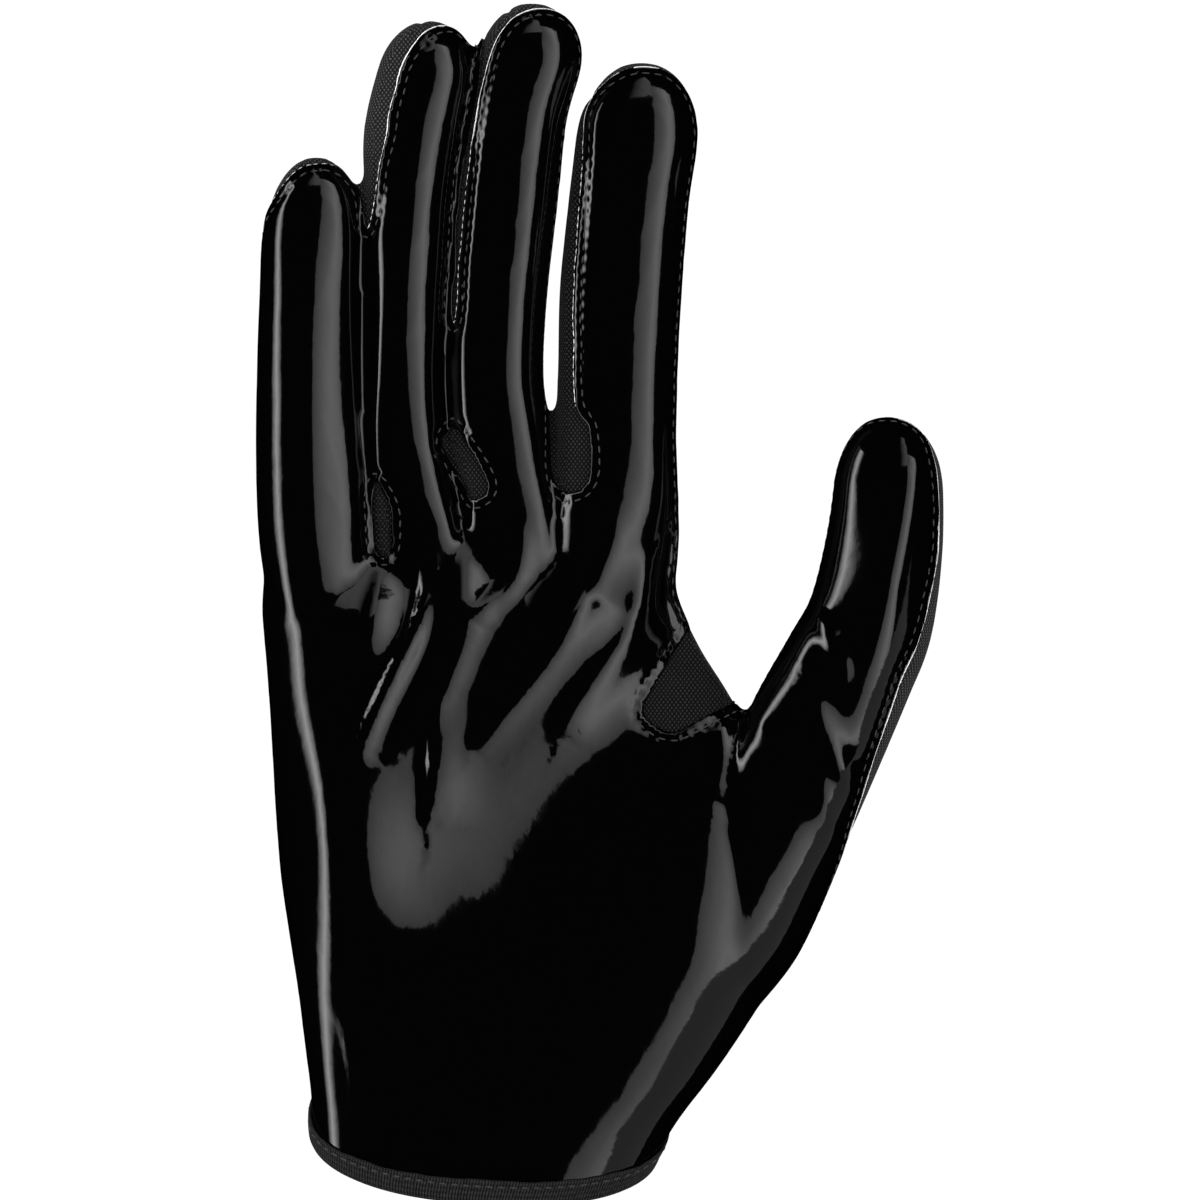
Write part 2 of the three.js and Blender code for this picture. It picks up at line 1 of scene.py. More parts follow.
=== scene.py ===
"""A football receiver's glove for the right hand, lying palm up: coated palm, knitted back and side strips.

The glove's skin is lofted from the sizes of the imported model, made one skin by a voxel remesh, cut along
the seams, and finished panel by panel. The tables hold millimetres or shares of the glove's sizes, and
everything in Blender is in metres.
"""

import functools
import math
from types import SimpleNamespace

import bpy
import numpy as np
from bpy.props import FloatProperty, FloatVectorProperty, PointerProperty
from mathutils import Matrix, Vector
from mathutils.kdtree import KDTree


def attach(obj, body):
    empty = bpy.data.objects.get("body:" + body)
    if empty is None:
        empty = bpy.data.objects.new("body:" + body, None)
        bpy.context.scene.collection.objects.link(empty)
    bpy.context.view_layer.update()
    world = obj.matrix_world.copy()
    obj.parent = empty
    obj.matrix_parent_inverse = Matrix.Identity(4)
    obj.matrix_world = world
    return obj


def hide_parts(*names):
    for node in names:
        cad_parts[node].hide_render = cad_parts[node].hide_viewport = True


bl_info = {
    "name": "Receiver Glove",
    "version": (1, 0, 0),
    "blender": (4, 5, 0),
    "location": "View3D > Sidebar > Glove",
    "description": "Makes the panels, seams and hem tape of a football receiver's glove",
    "category": "Object",
}

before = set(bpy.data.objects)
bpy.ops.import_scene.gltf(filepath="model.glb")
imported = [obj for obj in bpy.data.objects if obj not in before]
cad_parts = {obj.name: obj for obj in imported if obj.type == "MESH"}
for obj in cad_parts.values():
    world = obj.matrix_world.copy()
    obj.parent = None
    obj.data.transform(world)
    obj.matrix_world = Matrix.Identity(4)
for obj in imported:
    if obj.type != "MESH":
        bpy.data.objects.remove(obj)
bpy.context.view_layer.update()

MM = 0.001
ORIGIN = np.array([-25.5819, -122.8535, 0.043])  # from the tables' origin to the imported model's, mm

# Sizes of the glove, mm
LENGTH = 246.0
PALM_WIDTH = 88.0
PALM_DEPTH = 34.0
FINGER_DEPTH = 20.0
THUMB_DEPTH = 23.0
WALL = 1.2
TAPE_TOP = 3.1
HEM_LEAN = 12.0  # how much lower the hem lies on the palm's side than at mid depth
HEM_TILT = 2.0  # how much lower it lies at the thumb's side than in the middle
HEM_SPARE = 7.0  # how far the form goes on below the hem, where it is cut off
NODE_GAP = 0.3  # least width between two nodes of a sheet
SEWN_STEP = 0.5  # between the points of a stitch line
SHORTEST_SEAM = 12.0  # a shorter stitch line is left out
DOTS_TOP = 97.0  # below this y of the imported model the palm's cut edge shows as dots
THUMB_X = 38.0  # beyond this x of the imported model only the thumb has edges

# Shapes of the glove, as powers and shares
ROUNDNESS = 2.3  # power of the rounded section, where 2 makes an ellipse
BACK_SAG = 1.1  # the section is this much deeper below its middle
STRIP_DEPTH = 0.45  # of a digit's half depth, from its middle down to the back's edge at a strip
SEAM_DROP = 0.16  # of a digit's half width, over which the palm's sheet falls beside a seam
FINGER_ROOT = 0.53  # of the length, where the fingers part
THUMB_TOP = 0.43  # of the length, where thumb and palm part
THUMB_ROOT = 0.27  # of the length, where the thumb's own seam begins

# Numbers of the panels. The strips have 1 to 3, from the little finger on.
PALM_PANEL = 0
GUSSET_PANEL = 4
BACK_PANEL = 5


def table(names, rows):
    return SimpleNamespace(**dict(zip(names.split(), np.array(rows, float).T)))


def digit_form(width, depth, strips, rows):
    """A digit's width and depth in mm, the sides where a strip joins it, and its stations from root to tip.

    Each station has the centre as shares of the palm's width, the length and the palm's depth, shares of the
    digit's own width and depth, the places of both seams round the section in degrees, and the height that
    the palm's sheet has beside a seam.
    """
    stations = table("x y z width depth left right crown", rows)
    return SimpleNamespace(width=width, depth=depth, strips=strips, rows=stations)


DIGITS = {
    "pinky": digit_form(22.4, FINGER_DEPTH, ("right",), [
        [-0.33, 0.46, 0.4, 1.0, 0.9, 204, 9, 0.0],
        [-0.365, 0.55, 0.38, 1.09, 0.95, 204, 11, 0.0],
        [-0.381, 0.625, 0.34, 1.04, 0.95, 204, 14, 0.0],
        [-0.383, 0.69, 0.33, 1.0, 0.93, 204, 14, 0.0],
        [-0.381, 0.75, 0.34, 0.97, 0.92, 204, 14, 0.0],
        [-0.379, 0.8, 0.36, 0.95, 0.9, 200, 14, 0.1],
        [-0.374, 0.835, 0.38, 0.88, 0.85, 150, 14, 0.5],
        [-0.366, 0.872, 0.4, 0.82, 0.8, 125, 14, 0.65],
    ]),
    "ring": digit_form(20.0, FINGER_DEPTH, ("left", "right"), [
        [-0.1, 0.46, 0.42, 0.95, 0.9, 160, -4, 0.0],
        [-0.132, 0.55, 0.38, 0.97, 0.95, 125, -4, 0.0],
        [-0.163, 0.634, 0.33, 0.88, 0.95, 132, -6, 0.0],
        [-0.165, 0.69, 0.33, 0.82, 0.93, 147, -9, 0.0],
        [-0.161, 0.75, 0.34, 0.86, 0.95, 156, -9, 0.0],
        [-0.155, 0.834, 0.37, 0.96, 0.97, 128, -9, 0.1],
        [-0.146, 0.89, 0.4, 1.07, 0.97, 110, -9, 0.4],
        [-0.113, 0.945, 0.43, 1.02, 0.92, 110, -9, 0.6],
        [-0.086, 0.985, 0.45, 0.94, 0.88, 112, -9, 0.7],
    ]),
    "middle": digit_form(21.0, FINGER_DEPTH, ("left", "right"), [
        [0.1, 0.46, 0.42, 0.95, 0.9, 150, 0, 0.0],
        [0.09, 0.55, 0.38, 1.0, 0.97, 160, 0, 0.0],
        [0.06, 0.634, 0.34, 0.98, 0.97, 162, 0, 0.0],
        [0.046, 0.684, 0.33, 0.925, 0.97, 155, 0, 0.0],
        [0.051, 0.75, 0.34, 0.945, 0.97, 138, 0, 0.0],
        [0.074, 0.834, 0.38, 0.975, 1.0, 140, 3, 0.1],
        [0.097, 0.909, 0.42, 0.98, 0.98, 133, 6, 0.35],
        [0.131, 0.96, 0.45, 1.03, 0.95, 131, 7, 0.6],
        [0.146, 1.0, 0.47, 1.02, 0.9, 125, 7, 0.7],
    ]),
    "index": digit_form(25.4, FINGER_DEPTH, ("left",), [
        [0.3, 0.45, 0.42, 0.95, 0.9, 170, 9, 0.0],
        [0.325, 0.55, 0.39, 1.05, 0.98, 170, 11, 0.0],
        [0.33, 0.634, 0.35, 0.98, 1.0, 128, 14, 0.0],
        [0.335, 0.692, 0.34, 0.97, 1.0, 131, 14, 0.0],
        [0.342, 0.76, 0.35, 0.99, 1.0, 135, 14, 0.0],
        [0.363, 0.842, 0.39, 0.97, 1.0, 140, 14, 0.1],
        [0.379, 0.884, 0.42, 0.985, 0.98, 149, 14, 0.3],
        [0.386, 0.918, 0.43, 0.97, 0.95, 158, 16, 0.5],
        [0.386, 0.951, 0.45, 0.93, 0.88, 150, 16, 0.6],
    ]),
    "thumb": digit_form(24.0, THUMB_DEPTH, (), [
        [0.45, 0.15, 0.47, 1.0, 1.1, 189, -14, 0.0],
        [0.6, 0.24, 0.49, 1.33, 1.18, 189, -5, 0.0],
        [0.705, 0.315, 0.52, 1.26, 1.18, 189, 28, 0.0],
        [0.812, 0.398, 0.57, 1.22, 1.12, 189, 47, 0.0],
        [0.872, 0.442, 0.59, 1.16, 1.08, 189, 51, 0.0],
        [0.92, 0.478, 0.59, 1.1, 1.04, 189, 47, 0.0],
        [0.955, 0.54, 0.59, 1.02, 0.98, 189, 37, 0.1],
        [0.966, 0.6, 0.6, 0.94, 0.93, 189, 38, 0.25],
        [0.958, 0.653, 0.61, 0.88, 0.85, 180, 35, 0.4],
    ]),
}
FINGERS = ("pinky", "ring", "middle", "index")

# Sections of the hand's body from the hem up: y as a share of the length, left and right edge as shares of
# the palm's width, underside and depth as shares of its depth, share of the hem's lean, and the heights of
# the seams on the little finger's and the thumb's side as shares of the half depth.
BODY = table(
    "y left right low depth lean ulnar radial",
    [
        [0.053, -0.377, 0.42, 0.033, 0.92, 1.0, -0.4, -0.3],
        [0.085, -0.382, 0.48, 0.033, 0.93, 0.85, -0.42, -0.3],
        [0.125, -0.395, 0.575, 0.01, 0.97, 0.65, -0.45, -0.3],
        [0.17, -0.41, 0.665, 0.0, 1.0, 0.4, -0.45, -0.28],
        [0.22, -0.432, 0.75, 0.0, 1.0, 0.2, -0.45, -0.2],
        [0.27, -0.452, 0.77, 0.0, 0.99, 0.05, -0.45, 0.0],
        [0.32, -0.463, 0.74, 0.0, 0.96, 0.0, -0.45, 0.1],
        [0.37, -0.471, 0.675, 0.0, 0.91, 0.0, -0.45, 0.1],
        [0.42, -0.481, 0.6, 0.0, 0.86, 0.0, -0.45, 0.1],
        [0.46, -0.491, 0.53, 0.0, 0.8, 0.0, -0.45, 0.15],
        [0.495, -0.498, 0.485, 0.0, 0.74, 0.0, -0.45, 0.2],
        [0.525, -0.49, 0.465, 0.03, 0.62, 0.0, -0.45, 0.2],
        [0.55, -0.46, 0.44, 0.08, 0.48, 0.0, -0.45, 0.2],
        [0.57, -0.4, 0.4, 0.16, 0.3, 0.0, -0.45, 0.2],
    ],
)

# Broad hollows and mounds of the palm, as shares of the palm's width, the length and the palm's depth.
MOUNDS = [
    [0.0, 0.36, 0.26, 0.11, -0.2],
    [0.46, 0.3, 0.17, 0.09, 0.1],
    [-0.32, 0.27, 0.16, 0.13, 0.06],
    [0.02, 0.1, 0.25, 0.05, -0.06],
    [-0.3, 0.47, 0.16, 0.035, 0.05],
    [0.28, 0.48, 0.18, 0.035, 0.05],
]

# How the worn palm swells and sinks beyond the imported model's relief: centre and half widths in mm from the
# glove's middle, turn in degrees and height in mm.
SWELLS = [
    # the heel of the hand on the little finger's side
    ((-50, -48), (12, 24), 0, 4.0),
    # the crests of the little and ring fingers, and of the edge of the hand below
    ((-61, 45), (6, 40), 0, 1.6),
    ((-42.5, 62), (5, 40), -8, 0.9),
    ((-57, -25), (7, 45), 5, 2.0),
    # the bank that falls from the middle finger's root toward the thumb
    ((-24, -30), (18, 25), -40, 6.0),
    # the crease around the ball of the thumb, and the ball itself
    ((8, -38), (21, 42), -37, -6.5),
    ((25, -55), (12, 36), -10, 1.5),
    ((28, -20), (20, 10), 35, 3.0),
    # the dips below the index, middle and ring fingers
    ((20, 4), (8, 18), 25, -3.0),
    ((-16, 5), (8, 18), 0, -2.0),
    ((-38, 5), (8, 16), 0, -2.0),
    # the crest of the thumb
    ((60, 10), (6, 26), -12, 3.6),
]

# Pleats of the coated palm: a crest line in mm from the glove's middle, half widths to the little finger's
# side and to the thumb's side of it, and height.
PLEATS = [
    # between the index and middle fingers' roots, down into the hollow
    (
        [(2.5, 20), (2.5, 13), (-2.5, 2.5), (-7.5, -6.5), (-13.5, -15.5), (-21.5, -25), (-26, -31)],
        2.4, 3.4, 1.4,
    ),
    ([(10.5, 8), (6, -7.5), (0, -15.5), (-6, -24), (-8, -28)], 2.5, 5, 1.3),
    # from the ring and middle fingers' roots
    (
        [(-28.5, 19), (-28.5, 11), (-28.5, 0), (-28.5, -6.5), (-31.5, -15.5), (-36, -23), (-44.5, -33)],
        4, 4, 1.8,
    ),
    ([(-16, 15), (-17, 6.5), (-19, 2.5), (-23, -1), (-25, -5)], 2, 3, 1.4),
    ([(-35.5, 12), (-35.5, 3), (-38, -6.5), (-42.5, -15.5), (-48.5, -29), (-50, -34)], 1.6, 3, 2),
    ([(-43.5, 9), (-46, -2), (-47.5, -8), (-49, -12)], 2, 4, 0.8),
    ([(-33, -19), (-33.5, -28), (-34, -38), (-35, -46)], 1.6, 7, 2),
    # across the root of the thumb
    ([(40, -13), (42.5, -27.5), (47.5, -44), (48, -56)], 3.5, 7, 0.8),
    ([(31, -24), (36, -30.5), (38, -34), (39, -40)], 3, 2, 0.8),
    ([(26, -22.5), (25.5, -33), (23, -41)], 3, 6, 1.8),
    ([(41, 0), (46, -6), (49, -14), (47.5, -19)], 2, 2.4, 1.2),
    ([(42, -17), (45, -26), (49, -34), (52, -41)], 1.8, 3, 1.2),
    # a crease by the hem
    ([(-52, -84), (-50.5, -92), (-49.5, -101), (-50, -109)], 1.6, 2, 0.5),
]

# Places where a side strip comes through to the palm: x, y, width and length as shares of the palm's width
# and the length, and the slope. Then the gusset's corners, as shares of both.
WINDOWS = [
    [-0.212, 0.535, 0.044, 0.045, -0.06],
    [0.008, 0.582, 0.056, 0.055, -0.55],
    [0.224, 0.588, 0.093, 0.045, -0.03],
]
GUSSET = [
    [0.385, 0.402], [0.44, 0.388], [0.52, 0.4], [0.61, 0.415], [0.64, 0.435], [0.64, 0.505], [0.5, 0.475]
]


# Shapes: curves and sections


def signed_power(value, power):
    return np.sign(value) * np.abs(value) ** power


def unit(vectors):
    return vectors / np.linalg.norm(vectors, axis=1)[:, None]


def full_turn(count):
    return np.linspace(0, 2 * math.pi, count, endpoint=False)


def section(angle):
    """Places across and up on the rounded section that palm and digits share, from -1 to 1."""
    return signed_power(np.cos(angle), 2 / ROUNDNESS), signed_power(np.sin(angle), 2 / ROUNDNESS)


def centripetal(points):
    """The centripetal Catmull-Rom curve through the points, as a function of places from 0 to 1."""
    points = np.asarray(points, float)
    ahead = np.vstack([2 * points[0] - points[1], points, 2 * points[-1] - points[-2]])
    last = len(points) - 1

    def at(place):
        place = np.clip(np.atleast_1d(np.asarray(place, float)), 0, 1) * last
        k = np.minimum(place.astype(int), last - 1)
        w = (place - k)[:, None]
        p = [ahead[k + step] for step in range(4)]
        dt0, dt1, dt2 = (np.maximum(((b - a) ** 2).sum(1), 1e-12)[:, None] ** 0.25 for a, b in zip(p, p[1:]))
        t1 = ((p[1] - p[0]) / dt0 - (p[2] - p[0]) / (dt0 + dt1) + (p[2] - p[1]) / dt1) * dt1
        t2 = ((p[2] - p[1]) / dt1 - (p[3] - p[1]) / (dt1 + dt2) + (p[3] - p[2]) / dt2) * dt1
        c2 = -3 * p[1] + 3 * p[2] - 2 * t1 - t2
        c3 = 2 * p[1] - 2 * p[2] + t1 + t2
        return p[1] + t1 * w + c2 * w**2 + c3 * w**3

    return at


def columns(rows, *names):
    """Smooth values of three columns of a table, for places from 0 to 1."""
    return centripetal(np.array([getattr(rows, n) for n in names]).T)


def digit_curves(digit):
    """Adds the smooth curves through a digit's stations, and its length along them."""
    rows = digit.rows
    digit.spine = centripetal(np.array([rows.x * PALM_WIDTH, rows.y * LENGTH, rows.z * PALM_DEPTH]).T)
    digit.sizes = centripetal(np.array([rows.width, rows.depth, rows.depth * 0]).T)
    digit.seams = columns(rows, "left", "right", "crown")
    digit.places = np.linspace(0, 1, 401)
    spine = digit.spine(digit.places)
    digit.lengths = np.concatenate([[0], np.cumsum(np.linalg.norm(np.diff(spine, axis=0), axis=1))])
    digit.length = digit.lengths[-1]
    digit.across, digit.rise = spine[:, 0], spine[:, 1]


def digit_frame(digit, along):
    """Centre, side and up directions, half sizes and place on the curve, at lengths from the root."""
    place = np.interp(along, digit.lengths, digit.places)
    centre = digit.spine(place)
    tangent = unit(digit.spine(place + 1e-3) - digit.spine(place - 1e-3))
    side = unit(np.stack([tangent[:, 1], -tangent[:, 0], 0 * tangent[:, 0]], 1))
    up = np.cross(side, tangent)
    size = digit.sizes(place)
    return centre, side, up, size[:, 0] * digit.width / 2, size[:, 1] * digit.depth / 2, place


def digit_rings(digit, around=72, spacing=1.6):
    """Rings from root to tip, the last ones rounding off the end, and the centres of root and tip."""
    reach = 0.6 * digit.width
    shaft = digit.length - reach
    along = np.linspace(0, shaft, int(shaft / spacing))
    turn = np.linspace(0, math.pi / 2, 14)[1:-1]
    along = np.concatenate([along, shaft + reach * np.sin(turn)])
    shrink = np.concatenate([np.ones(len(along) - len(turn)), np.cos(turn) ** 0.9])
    centre, side, up, half_width, half_depth, _ = digit_frame(digit, along)
    across, high = section(full_turn(around))
    across = across[None, :] * (half_width * shrink)[:, None]
    high = high[None, :] * (half_depth * shrink)[:, None]
    rings = centre[:, None, :] + across[..., None] * side[:, None, :] + high[..., None] * up[:, None, :]
    rings[..., 2] = np.maximum(rings[..., 2], 0)
    return rings, digit_frame(digit, [0])[0][0], digit_frame(digit, [digit.length])[0][0]


def relief(x, y):
    """Height of the mounds over the palm's plain section, mm."""
    total = np.zeros_like(x)
    across, along = x / PALM_WIDTH, y / LENGTH
    for mx, my, rx, ry, height in MOUNDS:
        total += height * PALM_DEPTH * np.exp(-(((across - mx) / rx) ** 2) - ((along - my) / ry) ** 2)
    return total


body_edges = columns(BODY, "y", "left", "right")
body_form = columns(BODY, "depth", "lean", "low")
body_seams = columns(BODY, "ulnar", "radial", "low")


def body_place(rise):
    places = np.linspace(0, 1, 2001)
    return np.interp(rise, (body_edges(places)[:, 0] - body_edges(0)[0, 0]) * LENGTH, places)


def body_ring(place, inset=0.0, shift=0.0, around=220):
    """One ring of the hand's body, drawn in by the inset and shifted along the glove."""
    edges = body_edges(place)[0]
    form = body_form(place)[0]
    half_depth = form[0] * PALM_DEPTH / 2
    half_width = (edges[2] - edges[1]) * PALM_WIDTH / 2
    middle = (edges[2] + edges[1]) * PALM_WIDTH / 2
    angle = full_turn(around)
    across, high = section(angle)
    across = -across
    x = middle + across * (half_width - inset)
    y = edges[0] * LENGTH - form[1] * (high * HEM_LEAN + across * HEM_TILT) + shift
    raised = np.where(high > 0, relief(x, y) * np.sin(angle), 0)
    floor = form[2] * PALM_DEPTH
    z = floor + half_depth + high * np.where(high < 0, BACK_SAG, 1) * (half_depth - inset) + raised
    return np.stack([x, y, np.maximum(z, floor + inset)], 1)


def loft_mesh(rings, start, end):
    """Points and faces of a skin through the rings, closed by a fan at each end."""
    rows, count = rings.shape[:2]
    last = (rows - 1) * count
    points = np.vstack([rings.reshape(-1, 3), start, end])
    faces = []
    for i in range(count):
        j = (i + 1) % count
        for k in range(0, last, count):
            faces.append([k + i, k + j, k + count + j, k + count + i])
        faces += [[last + count, j, i], [last + count + 1, last + i, last + j]]
    return points, faces


# Seams: sheets of height over the plan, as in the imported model


def digit_seam(digit, y):
    """Four places across a digit, each as x and the heights of the palm's and the back's sheets there."""
    place = np.interp(y, digit.rise, digit.places)
    along = np.interp(place, digit.places, digit.lengths)
    centre, side, _, half_width, half_depth, place = (v[0] for v in digit_frame(digit, [along]))
    seams = digit.seams(place)[0]
    ends = []
    for degrees in seams[:2]:
        angle = math.radians(degrees)
        ends.append([signed_power(part, 2 / ROUNDNESS) for part in (math.cos(angle), math.sin(angle))])
    (left_across, left), (right_across, right) = ends
    is_thumb = right > left
    across, high = (right_across, right) if is_thumb else (left_across, left)
    left_low = -STRIP_DEPTH if "left" in digit.strips else left
    right_low = -STRIP_DEPTH if "right" in digit.strips else right

    def node(at, upper, lower):
        x = centre[0] + at * half_width / side[0]
        return [x, centre[2] + upper * half_depth, centre[2] + lower * half_depth]

    inward = -SEAM_DROP if is_thumb else SEAM_DROP
    crown_height = min(seams[2], high)
    seam = node(across, high, right_low if is_thumb else left_low)
    crown = node(across + inward, crown_height, crown_height)
    first, last = node(-1, left, left_low), node(1, right, right_low)
    return [first, crown, seam, last] if is_thumb else [first, seam, crown, last]


def seam_nodes(share):
    """The sheets' places at this share of the length, from left to right, as digit_seam gives them."""
    y = share * LENGTH
    places = np.arange(61) / 60
    place = max([p for p in places[1:] if body_edges(p)[0, 0] <= share], default=0.0)
    edges, form, seams = body_edges(place)[0], body_form(place)[0], body_seams(place)[0]
    half = form[0] * PALM_DEPTH / 2
    middle = form[2] * PALM_DEPTH + half
    left_x, right_x = edges[1] * PALM_WIDTH, edges[2] * PALM_WIDTH
    left_high, right_high = middle + half * seams[0], middle + half * seams[1]
    row = [node for name in FINGERS for node in digit_seam(DIGITS[name], y)]
    thumb = digit_seam(DIGITS["thumb"], y)
    if share < FINGER_ROOT:
        count = len(row)
        for i in range(1, count):
            row[i] = [left_x + (right_x - left_x) * i / count, middle, middle]
        row[0] = [left_x, left_high, left_high]
        row[-1] = [min(row[-1][0], right_x), middle, middle]
        if share >= THUMB_TOP:
            row[-1] = [right_x, right_high, right_high]
    if share < THUMB_TOP:
        thumb[0] = [row[-1][0] + 2 * WALL, middle, middle]
    if share < THUMB_ROOT:
        inside = right_x - PALM_DEPTH / 4
        row[-1] = [inside - 3 * WALL, middle, middle]
        thumb = [[inside - k * WALL, middle, middle] for k in (2, 1, 0)] + [[right_x, right_high, right_high]]
    nodes = np.array(row + thumb)
    nodes = np.vstack([nodes[0], nodes, nodes[-1]])
    nodes[0, 0], nodes[-1, 0] = -2 * PALM_WIDTH, 2 * PALM_WIDTH
    for i in range(1, len(nodes)):
        nodes[i, 0] = max(nodes[i, 0], nodes[i - 1, 0] + NODE_GAP)
    return nodes


def sheet_heights(points):
    """Height of the points above the palm panel's sheet and above the back panel's sheet."""
    spans = (np.linspace(0.27, 0.37, 20), np.linspace(0.43, 0.48, 12), np.linspace(0.53, 1.1, 180))
    levels = np.concatenate([[-0.1, 0.1, 0.2], *spans])
    rows = np.array([seam_nodes(share) for share in levels])
    k = np.clip(np.searchsorted(levels * LENGTH, points[:, 1]) - 1, 0, len(levels) - 2)
    w = (points[:, 1] - levels[k] * LENGTH) / (levels[k + 1] - levels[k]) / LENGTH
    nodes = rows[k] * (1 - w)[:, None, None] + rows[k + 1] * w[:, None, None]
    i = np.clip((nodes[:, :, 0] <= points[:, :1]).sum(1) - 1, 0, nodes.shape[1] - 2)
    n = np.arange(len(points))
    a, b = nodes[n, i], nodes[n, i + 1]
    t = ((points[:, 0] - a[:, 0]) / (b[:, 0] - a[:, 0]))[:, None]
    heights = a + (b - a) * np.clip(t, 0, 1)
    return points[:, 2] - heights[:, 1], points[:, 2] - heights[:, 2]


def crotch_depth(points):
    """How far the points lie inside a crotch window, seen from above."""
    best = np.full(len(points), -1e3)
    for x, y, width, length, lean in WINDOWS:
        radius = width * PALM_WIDTH / 2
        turn = math.atan(-lean)
        px, py = points[:, 0] - x * PALM_WIDTH, points[:, 1] - y * LENGTH - radius
        u = px * math.cos(turn) + py * math.sin(turn)
        v = -px * math.sin(turn) + py * math.cos(turn)
        outside = np.where(v < 0, np.hypot(u, v), np.maximum(np.abs(u), v - length * LENGTH + radius))
        best = np.maximum(best, radius - outside)
    return best


def gusset_depth(points, rounding=2.0):
    """How far the points lie inside the thumb gusset with its rounded corners, seen from above."""
    corners = np.array(GUSSET) * [PALM_WIDTH, LENGTH]
    corners += unit(corners.mean(0) - corners) * rounding * 1.15
    distance = np.full(len(points), 1e3)
    inside = np.zeros(len(points), bool)
    for a, b in zip(corners, np.roll(corners, -1, 0)):
        leg = b - a
        t = np.clip(((points[:, :2] - a) @ leg) / (leg @ leg), 0, 1)
        distance = np.minimum(distance, np.linalg.norm(points[:, :2] - a - t[:, None] * leg, axis=1))
        crosses = (a[1] > points[:, 1]) != (b[1] > points[:, 1])
        with np.errstate(divide="ignore", invalid="ignore"):
            meets = a[0] + (points[:, 1] - a[1]) * leg[0] / leg[1]
        inside ^= crosses & (points[:, 0] < meets)
    return np.where(inside, distance, -distance) + rounding


def window_depth(points):
    """How far the points lie inside a crotch window or the thumb gusset, seen from above."""
    return np.maximum(crotch_depth(points), gusset_depth(points))


def above_hem(points):
    """How far the points lie above the hem's slanting edge."""
    edges, form = body_edges(0)[0], body_form(0)[0]
    half_depth = form[0] * PALM_DEPTH / 2
    half_width = (edges[2] - edges[1]) * PALM_WIDTH / 2
    across = (points[:, 0] - (edges[2] + edges[1]) * PALM_WIDTH / 2) / half_width
    high = (points[:, 2] - form[2] * PALM_DEPTH - half_depth) / half_depth
    high = np.where(high < 0, high / BACK_SAG, high)
    lean = form[1] * (np.clip(high, -1, 1) * HEM_LEAN + np.clip(across, -1, 1) * HEM_TILT)
    return points[:, 1] - edges[0] * LENGTH + lean


# Mesh work on points (n, 3) and triangles (m, 3)


def point_normals(points, faces):
    a, b, c = points[faces[:, 0]], points[faces[:, 1]], points[faces[:, 2]]
    across = np.cross(b - a, c - a)
    normals = np.zeros_like(points)
    for k in range(3):
        np.add.at(normals, faces[:, k], across)
    return normals / np.maximum(np.linalg.norm(normals, axis=1), 1e-12)[:, None]


def triangle_edges(faces):
    return np.vstack([faces[:, [0, 1]], faces[:, [1, 2]], faces[:, [2, 0]]])


def crossings(pairs, value):
    """Ends of the edges on which value changes sign, and the share of the way to its zero."""
    a, b = pairs.T
    cross = value[a] * value[b] < 0
    a, b = a[cross], b[cross]
    return a, b, value[a] / (value[a] - value[b])


def draw_onto_cut(points, pairs, value, reach=0.18):
    """Corners close to the cut moved onto it, each once, along the edge that asks for the shortest move."""
    points, value = points.copy(), value.copy()
    a, b, share = crossings(pairs, value)
    end, other, share = np.concatenate([a, b]), np.concatenate([b, a]), np.concatenate([share, 1 - share])
    order = np.argsort(-share)
    order = order[share[order] < reach]
    end, other, share = end[order], other[order], share[order]
    points[end] = points[end] + (points[other] - points[end]) * share[:, None]
    value[end] = 0
    return points, value


def cut_triangles(faces, sign, between):
    """The triangles, with each one that lies across the cut replaced by its parts on either side."""
    made = []
    whole = np.ones(len(faces), bool)
    for k in range(3):
        p, q, r = np.roll(faces, -k, axis=1).T
        lone = (sign[p] * sign[q] < 0) & (sign[p] * sign[r] < 0)
        halved = (sign[p] == 0) & (sign[q] * sign[r] < 0)
        whole &= ~(lone | halved)
        a, b, c = p[lone], q[lone], r[lone]
        ab, ac = between(a, b), between(a, c)
        made += [np.stack(part, 1) for part in ((a, ab, ac), (ab, b, c), (ab, c, ac))]
        a, b, c = p[halved], q[halved], r[halved]
        bc = between(b, c)
        made += [np.stack(part, 1) for part in ((a, b, bc), (a, bc, c))]
    return np.vstack([faces[whole], *made])


def split(points, faces, value, fields):
    """Cuts the triangles where value is zero. fields are other values per point, carried along."""
    pairs = np.unique(np.sort(triangle_edges(faces), axis=1), axis=0)
    points, value = draw_onto_cut(points, pairs, value)
    a, b, share = crossings(pairs, value)
    count = len(points)
    keys = a * np.int64(count) + b

    def between(p, q):
        return count + np.searchsorted(keys, np.minimum(p, q) * np.int64(count) + np.maximum(p, q))

    faces = cut_triangles(faces, np.sign(value), between)
    fields = {k: np.concatenate([f, f[a] * (1 - share) + f[b] * share]) for k, f in fields.items()}
    share = share[:, None]
    points = np.vstack([points, points[a] * (1 - share) + points[b] * share])
    return points, faces, np.concatenate([value, np.zeros(len(a))]), fields


def calm(value, faces, passes):
    """A field over the points, evened out so that the seams cut from it run smoothly."""
    for _ in range(passes):
        total, count = np.zeros(len(value)), np.zeros(len(value))
        for k in range(3):
            np.add.at(total, faces[:, k], value[faces].sum(1))
            np.add.at(count, faces[:, k], 3)
        value = total / np.maximum(count, 1)
    return value


def rim_edges(faces):
    """Edges that only one of the triangles uses."""
    pairs = triangle_edges(faces)
    _, index, uses = np.unique(np.sort(pairs, axis=1), axis=0, return_index=True, return_counts=True)
    return pairs[index[uses == 1]]


